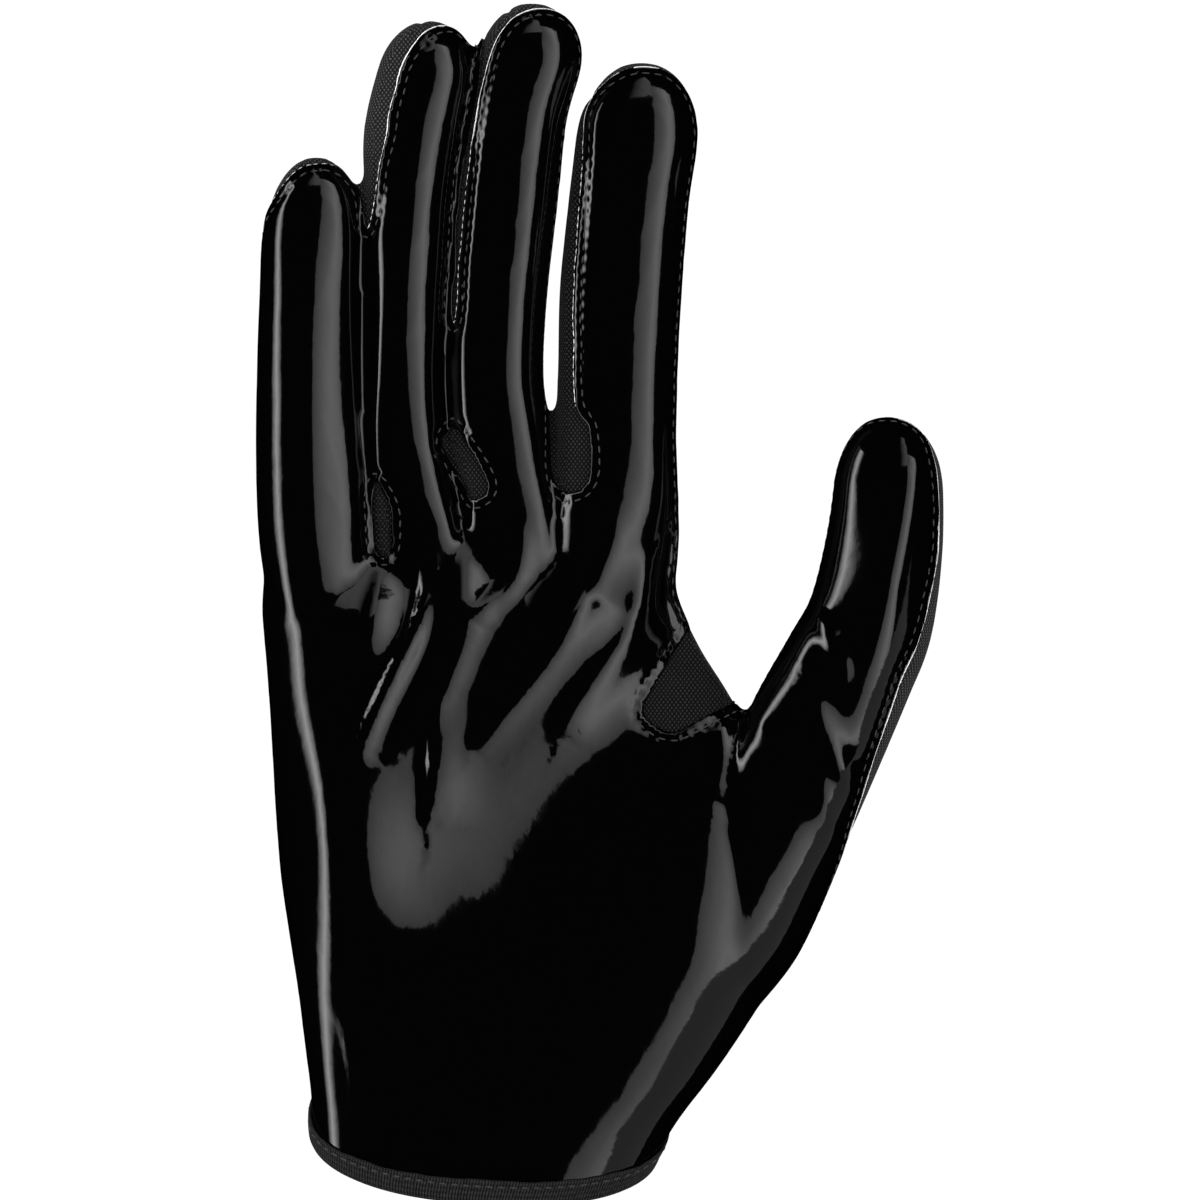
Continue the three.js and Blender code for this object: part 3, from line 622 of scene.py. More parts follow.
def even_borders(points, faces, panel, passes):
    """Points on the borders between panels evened out along them, so that the seams run smoothly."""
    rims = np.sort(np.vstack([rim_edges(faces[panel == k]) for k in np.unique(panel)]), axis=1)
    pairs, uses = np.unique(rims, axis=0, return_counts=True)
    pairs = pairs[uses == 2]
    inner = np.flatnonzero(np.bincount(pairs.ravel(), minlength=len(points)) == 2)
    points = points.copy()
    for _ in range(passes):
        total = np.zeros_like(points)
        np.add.at(total, pairs[:, 0], points[pairs[:, 1]])
        np.add.at(total, pairs[:, 1], points[pairs[:, 0]])
        points[inner] = (points[inner] + total[inner] / 2) / 2
    beside = np.zeros(len(points), bool)
    beside[faces[np.isin(faces, pairs).any(1)]] = True
    beside[rims] = False
    for _ in range(3):
        even = np.stack([calm(points[:, k], faces, 1) for k in range(3)], 1)
        points[beside] = even[beside]
    return points


def nearest(samples, points):
    """Index of and distance to the nearest sample, for each point."""
    tree = KDTree(len(samples))
    for i, sample in enumerate(samples):
        tree.insert(sample, i)
    tree.balance()
    found = [tree.find(p) for p in points]
    return np.array([f[1] for f in found]), np.array([f[2] for f in found])


def linked_runs(links):
    """Runs of keys that follow one another through the links. A closed run ends with its start again."""
    left = set(links)
    runs = []
    for start in [k for k in links if len(links[k]) == 1] + list(links):
        if start not in left:
            continue
        run = [start]
        left.discard(start)
        while onward := [k for k in links[run[-1]] if k in left]:
            run.append(onward[0])
            left.discard(onward[0])
        if len(links[start]) > 1 and run[-1] in links[start]:
            run.append(start)
        runs.append(run)
    return runs


def contour(faces, value, level, shortest=12):
    """Chains of edges on which value passes the level, each edge as its ends and the share between them."""
    value = value - level
    value = np.where(value == 0, 1e-9, value)
    links, shares = {}, {}
    for face in faces[np.abs(np.sign(value[faces]).sum(1)) != 3].tolist():
        cut = []
        for p, q in zip(face, face[1:] + face[:1]):
            if value[p] * value[q] < 0:
                key = (min(p, q), max(p, q))
                shares[key] = value[key[0]] / (value[key[0]] - value[key[1]])
                cut.append(key)
        if len(cut) == 2:
            links.setdefault(cut[0], []).append(cut[1])
            links.setdefault(cut[1], []).append(cut[0])
    return [[(*key, shares[key]) for key in run] for run in linked_runs(links) if len(run) > shortest]


def read_chain(chain, field):
    """Values of a field along a chain of edges."""
    a, b, t = (np.array(v) for v in zip(*chain))
    t = t[:, None] if field.ndim > 1 else t
    return field[a] * (1 - t) + field[b] * t


def evenly(path, *others, spacing):
    """The path and what is read along it, smoothed and resampled at even steps."""
    for _ in range(4):
        inner = (path[:-2] + 2 * path[1:-1] + path[2:]) / 4
        path = np.vstack([path[:1], inner, path[-1:]])
    run = np.concatenate([[0], np.cumsum(np.linalg.norm(np.diff(path, axis=0), axis=1))])
    at = np.arange(0, run[-1], spacing)
    return [np.stack([np.interp(at, run, v[:, i]) for i in range(3)], 1) for v in (path, *others)] + [at]


def new_object(name, points, faces, materials=()):
    """An object from points in millimetres."""
    mesh = bpy.data.meshes.new(name)
    mesh.from_pydata((points * MM).tolist(), [], faces)
    mesh.validate()
    made = bpy.data.objects.new(name, mesh)
    bpy.context.scene.collection.objects.link(made)
    for material in materials:
        mesh.materials.append(material)
    return made


def only(made):
    bpy.ops.object.select_all(action="DESELECT")
    made.select_set(True)
    bpy.context.view_layer.objects.active = made


def apply_modifier(made, name, kind, **values):
    modifier = made.modifiers.new(name, kind)
    for key, value in values.items():
        setattr(modifier, key, value)
    only(made)
    bpy.ops.object.modifier_apply(modifier=modifier.name)


def smooth(made):
    only(made)
    bpy.ops.object.shade_smooth()
    return made


def face_outwards(made):
    only(made)
    bpy.ops.object.mode_set(mode="EDIT")
    bpy.ops.mesh.select_all(action="SELECT")
    bpy.ops.mesh.normals_make_consistent(inside=False)
    bpy.ops.object.mode_set(mode="OBJECT")


def read_all(items, key, width=1, kind=float):
    """One value of every item, in an array with this many numbers in a row."""
    values = np.empty(len(items) * width, kind)
    items.foreach_get(key, values)
    return values.reshape(-1, width) if width > 1 else values


def mesh_arrays(made):
    """Points in the tables' millimetres, and triangles."""
    mesh = made.data
    mesh.calc_loop_triangles()
    return read_all(mesh.vertices, "co", 3) / MM, read_all(mesh.loop_triangles, "vertices", 3, np.int64)


# The glove's skin and its panels


def used_points(points, faces):
    """Which of the points the faces use, and the faces numbered by these alone."""
    used = np.unique(faces)
    numbers = np.zeros(len(points), np.int64)
    numbers[used] = np.arange(len(used))
    return used, numbers[faces]


def swell_height(points):
    """Height of the swells over the plan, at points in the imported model's millimetres."""
    total = np.zeros(len(points))
    for (x, y), (half_x, half_y), turn, height in SWELLS:
        turn = math.radians(turn)
        dx, dy = points[:, 0] - x, points[:, 1] - y
        u = (math.cos(turn) * dx + math.sin(turn) * dy) / half_x
        v = (math.cos(turn) * dy - math.sin(turn) * dx) / half_y
        total += height * np.exp(-(u**2) - v**2)
    return total


def one_pleat(spots, path, near, far, height):
    """Height of a pleat at the spots: highest on its crest, less to both sides and toward its ends."""
    gap = spots[:, None, :] - path[None, :, :]
    index = (gap**2).sum(2).argmin(1)
    heading = unit(np.gradient(path, axis=0))
    offset = gap[np.arange(len(spots)), index]
    side = offset[:, 0] * heading[index, 1] - offset[:, 1] * heading[index, 0]
    # the crest runs down the glove, so the thumb's side is where side is negative
    width = np.where(side < 0, far, near)
    along = index / (len(path) - 1)
    swell = np.sin(math.pi * np.clip(0.08 + 0.9 * along, 0, 1)) ** 0.7
    return height * swell * np.exp(-((np.linalg.norm(offset, axis=1) / width) ** 2))


def pleat_height(points):
    """Height of the pleats over the plan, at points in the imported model's millimetres."""
    total = np.zeros(len(points))
    for crest, near, far, height in PLEATS:
        curve = centripetal(np.array([(x, y, 0) for x, y in crest]))
        path = curve(np.linspace(0, 1, 90))[:, :2]
        reach = 3 * max(near, far)
        low, high = path.min(0) - reach, path.max(0) + reach
        close = np.all((points[:, :2] > low) & (points[:, :2] < high), axis=1)
        total[close] += one_pleat(points[close, :2], path, near, far, height)
    return total


def ripple(points):
    """Slow unevenness of stretched sheet, mm."""
    x, y = points[:, 0], points[:, 1]
    return (
        0.12 * np.sin(x / 5.3 + 1.3 * np.sin(y / 17.0)) * np.sin(y / 13.0 + 0.6)
        + 0.10 * np.sin(y / 7.1 + 1.7 * np.sin(x / 9.0) + 2.0)
        + 0.04 * np.sin(x / 2.9 + y / 6.3 + 1.5 * np.sin(y / 11.0))
    )


def one_skin():
    """Points and triangles of the glove's form: body and digits made one closed skin of even faces."""
    for digit in DIGITS.values():
        digit_curves(digit)
    rings = np.stack([body_ring(0, 0, -HEM_SPARE), *(body_ring(p) for p in np.linspace(0, 1, 110))])
    solids = [loft_mesh(rings, rings[0].mean(0), rings[-1].mean(0) + [0, WALL, 0])]
    solids += [loft_mesh(*digit_rings(digit)) for digit in DIGITS.values()]
    points, faces, count = [], [], 0
    for solid_points, solid_faces in solids:
        points.append(solid_points)
        faces += [[i + count for i in face] for face in solid_faces]
        count += len(solid_points)
    form = new_object("glove_form", np.vstack(points), faces)
    face_outwards(form)
    sizes = bpy.context.scene.glove_sizes
    apply_modifier(form, "one_skin", "REMESH", mode="VOXEL", voxel_size=sizes.skin_mesh, adaptivity=0)
    apply_modifier(form, "even", "SMOOTH", factor=0.5, iterations=14)
    apply_modifier(form, "corners", "TRIANGULATE", quad_method="SHORTEST_DIAGONAL")
    points, faces = mesh_arrays(form)
    bpy.data.objects.remove(form)
    return points, faces


def cut_skin():
    """The skin cut along hem and seams: points, triangles, and three values a point that tell the panels."""
    points, faces = one_skin()
    high, low = sheet_heights(points)
    palm = calm(np.minimum(high, -window_depth(points)), faces, 6)
    fields = {"palm": palm, "low": calm(low, faces, 6), "high": high}
    points, faces, hem, fields = split(points, faces, above_hem(points), fields)
    faces = faces[hem[faces].sum(1) > 0]
    points, faces, palm, fields = split(points, faces, fields["palm"], fields)
    lower_cut = np.where(palm == 0, fields["palm"], fields["low"])
    points, faces, low, fields = split(points, faces, lower_cut, {"palm": palm, "high": fields["high"]})
    used, faces = used_points(points, faces)
    return points[used], faces, fields["palm"][used], low[used], fields["high"][used]


def panel_numbers(points, faces, palm, low):
    """The panel of each triangle, by its number: palm, a strip from the little finger on, gusset or back."""
    middle = points[faces].mean(1)
    panel = np.full(len(faces), GUSSET_PANEL)
    for number, name in ((3, "index"), (2, "middle"), (1, "ring")):
        spine = np.interp(middle[:, 1], DIGITS[name].rise, DIGITS[name].across)
        panel[middle[:, 0] < spine] = number
    web = (middle[:, 1] < FINGER_ROOT * LENGTH) & (middle[:, 0] > 0.36 * PALM_WIDTH)
    panel[web] = GUSSET_PANEL
    # between palm and back outside the gusset and the strips there is no third panel
    panel[web & (window_depth(middle) < -0.4)] = BACK_PANEL
    panel[low[faces].sum(1) <= 0] = BACK_PANEL
    panel[palm[faces].sum(1) > 0] = PALM_PANEL
    return panel


def seam_distance(points, palm, rim, samples=4):
    """Distance of the points to the palm's seams, which are the parts of its rim that aren't the hem."""
    ends = points[rim[np.abs(palm[rim]).max(1) < 1e-6]]
    shares = ((np.arange(samples) + 0.5) / samples)[None, :, None]
    spots = ends[:, None, 0] * (1 - shares) + ends[:, None, 1] * shares
    return nearest(spots.reshape(-1, 3), points)[1]


def worn_form(points, faces, distance, inside, high):
    """The points with the palm's swells, hollows and pleats, and with a slow unevenness all over."""
    facing = np.clip(point_normals(points, faces)[:, 2] * 2.2, 0, 1)
    away = np.where(inside, np.clip(distance / 3, 0.1, 1), 0)
    below_fingers = 1 / (1 + np.exp((points[:, 1] - 15.0) / 3))
    lift = facing * (swell_height(points) + pleat_height(points) * away * below_fingers)
    # a hollow stays shallower than the wall above the palm's edge, so that the wall doesn't fold over
    points[:, 2] += np.maximum(lift, -0.5 * np.maximum(high, 0))
    uneven = ripple(points) * np.where(inside, np.clip(distance / 5, 0.1, 0.4), 0.3)
    return points + point_normals(points, faces) * uneven[:, None]


@functools.cache
def glove_skin():
    """The whole skin cut along its seams: points, normals, triangles and the panel of each triangle."""
    points, faces, palm, low, high = cut_skin()
    panel = panel_numbers(points, faces, palm, low)
    points = even_borders(points, faces, panel, 6)
    palm_faces = faces[panel == PALM_PANEL]
    distance = seam_distance(points, palm, rim_edges(palm_faces))
    inside = np.zeros(len(points), bool)
    inside[np.unique(palm_faces)] = True
    points = worn_form(points + ORIGIN, faces, distance, inside, high)
    normals = point_normals(points, faces)
    return SimpleNamespace(
        points=points, faces=faces, normals=normals, panel=panel, distance=distance, inside=inside
    )


def panel_piece(name, points, faces, thickness, materials, fields):
    """A sheet thickened inwards from its outer face. Its rim and inner face take the next materials."""
    used, faces = used_points(points, faces)
    made = new_object(name, points[used], faces.tolist(), materials)
    for key, values in fields.items():
        layer = made.data.attributes.new(key, "FLOAT", "POINT")
        layer.data.foreach_set("value", values[used].astype(np.float32))
    sheet = {"offset": -1, "use_even_offset": False, "material_offset_rim": 1, "material_offset": 2}
    apply_modifier(made, "sheet", "SOLIDIFY", thickness=thickness, **sheet)
    return smooth(made)


def box_uv(made):
    """A map in millimetres that takes each face straight on, with the glove's length always upwards."""
    mesh = made.data
    layer = mesh.uv_layers.new(name="weave")
    corners = read_all(mesh.loops, "vertex_index", 1, np.int64)
    points = read_all(mesh.vertices, "co", 3)[corners] / MM
    totals = read_all(mesh.polygons, "loop_total", 1, np.int64)
    x, y, z = np.repeat(np.abs(read_all(mesh.polygons, "normal", 3)), totals, axis=0).T
    endways = (y > z) & (y > x)
    u = np.where((x > z) & ~endways, points[:, 2], points[:, 0])
    v = np.where(endways, points[:, 2], points[:, 1])
    layer.data.foreach_set("uv", np.stack([u, v], 1).astype(np.float32).ravel())


def sweep(name, cords, material, sides=6):
    """Round cords in one mesh, each given as its path, the ups along it and its radii."""
    turn = full_turn(sides)
    points, faces, count = [], [], 0
    for path, ups, radii in cords:
        ahead = unit(np.gradient(path, axis=0))
        side = unit(np.cross(ahead, ups))
        up = np.cross(side, ahead)
        ring = np.cos(turn)[None, :, None] * side[:, None] + np.sin(turn)[None, :, None] * up[:, None]
        points.append((path[:, None] + ring * radii[:, None, None]).reshape(-1, 3))
        last = (len(path) - 1) * sides
        for k in range(count, count + last, sides):
            for i in range(sides):
                j = (i + 1) % sides
                faces.append([k + i, k + j, k + sides + j, k + sides + i])
        faces.append([count + i for i in reversed(range(sides))])
        faces.append([count + last + i for i in range(sides)])
        count += len(path) * sides
    return smooth(new_object(name, np.vstack(points), faces, [material]))


def stitch_shape():
    """Points and faces of one raised stitch, in mm for a pitch of 2.4 mm, with its length along y."""
    bpy.ops.object.select_all(action="DESELECT")
    bpy.ops.mesh.primitive_uv_sphere_add(segments=8, ring_count=6, radius=0.5)
    bead = bpy.context.active_object
    bpy.ops.object.mode_set(mode="EDIT")
    bpy.ops.mesh.select_all(action="SELECT")
    bpy.ops.transform.resize(value=(0.36, 1.6, 0.34))
    bpy.ops.object.mode_set(mode="OBJECT")
    points = np.array([v.co for v in bead.data.vertices])
    faces = [list(p.vertices) for p in bead.data.polygons]
    bpy.data.objects.remove(bead)
    return points, faces


def place_stitches(name, lines, sizes, material):
    """One raised stitch after another along each line of path and ups, all in one mesh."""
    shape, polygons = stitch_shape()
    size = sizes.stitch_pitch / MM / 2.4
    points, faces, count = [], [], 0
    for path, ups in lines:
        for i in range(1, len(path) - 1):
            ahead = path[i + 1] - path[i - 1]
            ahead /= np.linalg.norm(ahead)
            up = ups[i] - ahead * (ups[i] @ ahead)
            up /= np.linalg.norm(up)
            side = np.cross(ahead, up)
            # hand-guided sewing leaves each stitch a little slanted
            slant = 0.10 * math.sin(12.9 * i + 3.1 * path[i, 1])
            basis = np.stack([side - ahead * slant, ahead + side * slant, up]) * size
            points.append(shape @ basis + path[i])
            faces += [[k + count for k in face] for face in polygons]
            count += len(shape)
    return smooth(new_object(name, np.vstack(points), faces, [material]))


def settle(made, slot, *nodes):
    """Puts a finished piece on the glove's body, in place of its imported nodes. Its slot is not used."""
    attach(made, "root")
    if nodes:
        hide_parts(*nodes)


# Finishes


def dim(colour, share):
    return tuple(share * c for c in colour)


class Finish:
    """A material and short ways to add nodes to it."""

    def __init__(self, name):
        self.material = bpy.data.materials.new(name)
        self.material.use_nodes = True
        self.tree = self.material.node_tree
        self.shader = self.tree.nodes["Principled BSDF"]

    def set(self, **values):
        for key, value in values.items():
            self.shader.inputs[key.replace("_", " ")].default_value = value

    def node(self, kind, **values):
        made = self.tree.nodes.new(kind)
        for key, value in values.items():
            if hasattr(made, key):
                setattr(made, key, value)
            else:
                made.inputs[key.replace("_", " ")].default_value = value
        return made

    def link(self, source, target):
        self.tree.links.new(source, target)

    def feed(self, socket, source):
        """Links a source to one of the shader's sockets."""
        self.link(source, self.shader.inputs[socket])

    def math(self, operation, *values):
        made = self.node("ShaderNodeMath", operation=operation)
        for socket, value in zip(made.inputs, values):
            if isinstance(value, (int, float)):
                socket.default_value = value
            else:
                self.link(value, socket)
        return made.outputs[0]

    def attribute(self, name):
        return self.node("ShaderNodeAttribute", attribute_name=name).outputs["Fac"]

    def parts(self, vector):
        """The three coordinates of a vector."""
        made = self.node("ShaderNodeSeparateXYZ")
        self.link(vector, made.inputs[0])
        return made.outputs

    def weave(self):
        """Millimetres across and along the cloth."""
        return self.parts(self.node("ShaderNodeUVMap", uv_map="weave").outputs[0])[:2]

    def object_coordinates(self, scale):
        """The piece's own coordinates, in units of scale metres."""
        source = self.node("ShaderNodeTexCoord")
        mapping = self.node("ShaderNodeMapping")
        mapping.inputs["Scale"].default_value = (1 / scale,) * 3
        self.link(source.outputs["Object"], mapping.inputs["Vector"])
        return mapping.outputs[0]

    def noise(self, vector, scale, detail=3.0, roughness=0.5):
        made = self.node("ShaderNodeTexNoise", Scale=scale, Detail=detail, Roughness=roughness)
        self.link(vector, made.inputs["Vector"])
        return made.outputs["Fac"]

    def ramp(self, factor, *stops):
        made = self.node("ShaderNodeValToRGB")
        ramp = made.color_ramp
        while len(ramp.elements) < len(stops):
            ramp.elements.new(0.5)
        for element, (position, colour) in zip(ramp.elements, stops):
            element.position = position
            element.color = (*colour, 1)
        self.link(factor, made.inputs["Fac"])
        return made.outputs["Color"]

    def bump(self, height, distance, strength, after=None):
        made = self.node("ShaderNodeBump", Distance=distance, Strength=strength)
        self.link(height, made.inputs["Height"])
        if after is not None:
            self.link(after, made.inputs["Normal"])
        self.link(made.outputs[0], self.shader.inputs["Normal"])
        return made.outputs[0]


def coated_palm(colours, sizes):
    """Tacky black coating, nearly a mirror, that puckers between the stitches of its edge."""
    made = Finish("coated_palm")
    made.set(Base_Color=(*colours.palm, 1), Roughness=0.06, IOR=1.5)
    where = made.object_coordinates(0.01)
    grain = made.noise(where, 9.0, 2.0)
    wander = made.noise(where, 1.3, 2.0)
    line = made.math("SUBTRACT", made.attribute("edge"), sizes.stitch_inset / MM)
    squared = made.math("POWER", made.math("ABSOLUTE", line), 2.0)
    near = made.math("EXPONENT", made.math("MULTIPLY", squared, -1.1))
    turns = made.math("MULTIPLY", made.attribute("run"), 2 * math.pi * MM / sizes.stitch_pitch)
    wave = made.math("COSINE", turns)
    pucker = made.math("MULTIPLY", made.math("ADD", made.math("MULTIPLY", wave, 0.55), -0.45), near)
    first = made.bump(pucker, 0.00006, 1.0)
    made.bump(made.math("ADD", made.math("MULTIPLY", grain, 0.12), wander), 0.00012, 0.5, after=first)
    worn = made.ramp(made.noise(where, 3.0, 5.0, 0.65), (0.3, (0.045,) * 3), (0.75, (0.085,) * 3))
    made.feed("Roughness", worn)
    return made.material


def raw_edge(colours):
    """Pale fibrous core of the palm sheet."""
    made = Finish("raw_edge_of_palm_sheet")
    fuzz = made.noise(made.object_coordinates(0.001), 2.4, 4.0)
    made.set(Roughness=0.9)
    made.feed("Base Color", made.ramp(fuzz, (0.25, dim(colours.edge, 0.45)), (0.6, colours.edge)))
    made.bump(fuzz, 0.0002, 0.7)
    return made.material


def knit(name, raised, sizes):
    """Closely woven stretch cloth: offset rows of short raised threads over a dark ground.

    A point attribute, from 0 to 1, paints shade onto the cloth, darker where it lies deep between the
    fingers.
    """
    made = Finish(name)
    made.set(Roughness=0.85, Specular_IOR_Level=0.12, Sheen_Weight=0.02, Sheen_Roughness=0.5)
    u, v = made.weave()
    step = sizes.weave_pitch / MM
    where = made.object_coordinates(0.01)
    stretch = made.math("MULTIPLY", made.noise(where, 4.0, 2.0), 3.0)
    across = made.math("MULTIPLY_ADD", u, 2 * math.pi / step, stretch)
    along = made.math("MULTIPLY", v, math.pi / (0.66 * step))
    dots = made.math("MULTIPLY", made.math("COSINE", across), made.math("COSINE", along))
    raised_thread = made.math("MAXIMUM", dots, 0.0)
    fibre = made.noise(where, 60.0, 3.0)
    cloudy = made.noise(where, 2.0, 3.0)
    uneven = made.math("ADD", made.math("MULTIPLY", fibre, 0.7), made.math("MULTIPLY", cloudy, 0.5))
    level = made.math("MULTIPLY", raised_thread, made.math("ADD", uneven, 0.3))
    colour = made.ramp(level, (0.0, dim(raised, 0.07)), (0.35, dim(raised, 0.3)), (0.9, raised))
    shaded = made.node("ShaderNodeVectorMath", operation="SCALE")
    made.link(colour, shaded.inputs[0])
    made.link(made.math("SUBTRACT", 1.0, made.attribute("painted_shade")), shaded.inputs["Scale"])
    made.feed("Base Color", shaded.outputs[0])
    first = made.bump(raised_thread, 0.00022, 0.8)
    made.bump(fibre, 0.00006, 0.5, after=first)
    return made.material


def tape_cloth(colours):
    """Matt ribbed tape."""
    made = Finish("hem_tape")
    made.set(Roughness=0.8, Specular_IOR_Level=0.15, Sheen_Weight=0.02)
    u, v = made.weave()
    rib = made.math("SINE", made.math("MULTIPLY", u, 2 * math.pi / 0.62))
    cross = made.math("SINE", made.math("MULTIPLY", v, 2 * math.pi / 0.9))
    weave = made.math("ADD", made.math("MULTIPLY", rib, 0.35), made.math("MULTIPLY", cross, 0.15))
    level = made.math("ADD", weave, made.noise(made.object_coordinates(0.001), 1.6, 3.0))
    made.feed("Base Color", made.ramp(level, (0.3, dim(colours.tape, 0.1)), (0.95, colours.tape)))
    made.bump(level, 0.00018, 0.8)
    return made.material


def thread(colours):
    """Twisted sewing thread."""
    made = Finish("seam_thread")
    made.set(Roughness=0.42, Sheen_Weight=0.2)
    twist = made.node("ShaderNodeTexWave", Scale=1.1, Distortion=2.0, Detail=1.0)
    made.link(made.object_coordinates(0.001), twist.inputs["Vector"])
    strand = twist.outputs["Fac"]
    made.feed("Base Color", made.ramp(strand, (0.0, dim(colours.thread, 0.35)), (1.0, colours.thread)))
    made.bump(strand, 0.0001, 0.6)
    return made.material


def light_source(name, radiance):
    """A surface that only gives light."""
    made = Finish(name)
    made.set(Base_Color=(0, 0, 0, 1), Specular_IOR_Level=0.0, Emission_Strength=radiance)
    return made


def lit_table(colour, radiance):
    """The white light table that the glove lies on, which takes no shadow."""
    made = light_source("lit_table", radiance)
    tone = made.noise(made.object_coordinates(1.0), 1.5, 2.0)
    made.feed("Emission Color", made.ramp(tone, (0.0, dim(colour, 0.99)), (1.0, colour)))
    return made.material


def lit_card(name, radiance, axis, size, *stops):
    """Light that changes along one axis of a card of this size."""
    made = light_source(name, radiance)
    along = made.math("ADD", made.parts(made.object_coordinates(size))[axis], 0.5)
    level = made.ramp(along, *((place, (tone,) * 3) for place, tone in stops))
    made.feed("Emission Color", level)
    return made.material


# Sizes and colours that a user would change


def length(label, text, default, low, high):
    limits = {"default": default, "min": low, "max": high, "precision": 5}
    return FloatProperty(name=label, description=text, subtype="DISTANCE", unit="LENGTH", **limits)


def colour(label, text, default):
    limits = {"default": default, "size": 3, "min": 0, "max": 1}
    return FloatVectorProperty(name=label, description=text, subtype="COLOR", **limits)


def radiance(label, text, default):
    return FloatProperty(name=label, description=text, default=default, min=0)


class GloveSizes(bpy.types.PropertyGroup):
    skin_mesh: length("Skin mesh", "Size of the faces of the glove's skin", 0.0009, 0.0007, 0.003)
    palm_sheet: length("Palm sheet", "Thickness of the coated palm sheet", 0.0008, 0.0004, 0.0015)
    palm_proud: length("Palm proud", "How far the palm sheet stands out from the skin", 0.0003, 0, 0.001)
    knit_sheet: length("Knit", "Thickness of the knitted back and strips", 0.0008, 0.0004, 0.0015)
    knit_inset: length("Knit inset", "How far the knit lies under the skin", 0.00045, 0, 0.001)
    cut_edge: length("Cut edge", "Radius of the pale core along the palm's cut edge", 0.0002, 0.0001, 0.0005)
    stitch_inset: length("Stitch inset", "From the palm's cut edge to its stitch row", 0.0018, 0.001, 0.004)
    stitch_pitch: length("Stitch pitch", "From one stitch to the next", 0.0024, 0.001, 0.004)
    weave_pitch: length("Weave pitch", "From one raised thread to the next", 0.00088, 0.0004, 0.002)


class GloveColours(bpy.types.PropertyGroup):
    palm: colour("Palm", "Colour of the coated palm", (0.0005, 0.0005, 0.0006))
    knit: colour("Knit", "Colour of the raised threads of back and strips", (0.07, 0.07, 0.072))
    edge: colour("Raw edge", "Colour of the palm sheet's cut edge", (0.85, 0.85, 0.86))
    tape: colour("Hem tape", "Colour of the hem tape", (0.016, 0.016, 0.0165))
    thread: colour("Thread", "Colour of the seam thread", (0.02, 0.02, 0.021))


class GloveStage(bpy.types.PropertyGroup):
    floor: colour("Table", "Colour of the light table", (1.0, 1.0, 1.0))
    table: radiance("Table light", "Radiance of the light table", 1.05)
    key: radiance("Key light", "Radiance of the long soft box", 2.6)
    side: radiance("Side light", "Radiance of the card at the little finger's side", 6.0)
    fill: radiance("Fill", "Radiance of the light that only brightens the cloth", 2.6)


# Operators, one for each piece or group of like pieces


def lines_in_from_edge(skin, outer, faces, distance, inset, spacing):
    """Lines on the palm this far in from its cut edge, each as path, ups along it and run, at even steps."""
    for chain in contour(faces, distance, inset):
        yield evenly(read_chain(chain, outer), read_chain(chain, skin.normals), spacing=spacing)


def run_beside(lines, outer, close):
    """For the points named by close, the run along the stitch line beside them, and 0 for the others."""
    samples = np.vstack([path for path, _, _ in lines])
    runs = np.concatenate([run for _, _, run in lines])
    tangents = np.vstack([np.gradient(path, axis=0) / SEWN_STEP for path, _, _ in lines])
    index, _ = nearest(samples, outer[close])
    run = np.zeros(len(outer))
    run[close] = runs[index] + ((outer[close] - samples[index]) * tangents[index]).sum(1)
    return run


def cut_edge_cords(skin, outer, faces, distance, core):
    """The pale core of the palm sheet where its cut edge shows, as cords with their ups and radii."""
    inset = 0.3
    inner = outer[skin.inside & (distance > 1) & (distance < 2.2)]
    cords = []
    for path, ups, run in lines_in_from_edge(skin, outer, faces, distance, inset, 0.4):
        outward = path - inner[nearest(inner, path)[0]]
        outward = unit(outward - ups * (outward * ups).sum(1)[:, None])
        thin = 0.75 + 0.25 * np.sin(run / 7.3 + path[0, 0]) * np.sin(run / 2.9)
        # below the fingertips the core shows as a row of dots between the stitches
        dots = 0.4 + 0.35 * np.cos(2 * math.pi * run / 1.7)
        lower = np.clip((DOTS_TOP - path[:, 1]) / 6, 0, 1) * (path[:, 0] < THUMB_X)
        thin = thin * (1 - lower) + np.maximum(dots, 0.1) * lower
        laid = path + outward * (inset + 0.1) - ups * 0.75 * core
        # windows and gusset are turned in, and so is each finger's edge on the thumb's side
        turned_in = (window_depth(path - ORIGIN) > -2.5) | (outward[:, 0] > 0.35) & (path[:, 0] < THUMB_X)
        for part in np.split(np.arange(len(path)), np.flatnonzero(np.diff(turned_in)) + 1):
            if len(part) > 6 and not turned_in[part[0]]:
                cords.append((laid[part], ups[part], thin[part] * core))
    return cords


class MakePalm(bpy.types.Operator):
    """Makes the coated palm with the fronts of all five digits"""

    bl_idname = "glove.palm"
    bl_label = "Palm"

    def execute(self, context):
        sizes, colours = context.scene.glove_sizes, context.scene.glove_colours
        skin = glove_skin()
        faces = skin.faces[skin.panel == PALM_PANEL]
        distance = np.where(skin.inside, skin.distance, 0)
        inset = sizes.stitch_inset / MM
        groove = 0.18 * np.exp(-(((distance - inset) / 0.9) ** 2)) + 0.12 * np.exp(-((distance / 0.6) ** 2))
        outer = skin.points + skin.normals * (sizes.palm_proud / MM - groove)[:, None]
        lines = lines_in_from_edge(skin, outer, faces, distance, inset, SEWN_STEP)
        skin.lines = [line for line in lines if line[2][-1] >= SHORTEST_SEAM]
        run = run_beside(skin.lines, outer, np.flatnonzero(skin.inside & (skin.distance < 6)))
        lining = knit("palm_lining", dim(colours.knit, 0.4), sizes)
        materials = [coated_palm(colours, sizes), lining, lining]
        fields = {"edge": distance, "run": run}
        made = panel_piece("palm_sheet", outer, faces, sizes.palm_sheet, materials, fields)
        box_uv(made)
        settle(made, "palm_coating", "palm")
        cords = cut_edge_cords(skin, outer, faces, distance, sizes.cut_edge / MM)
        settle(sweep("palm_cut_edge", cords, raw_edge(colours)), "palm_coating")
        return {"FINISHED"}


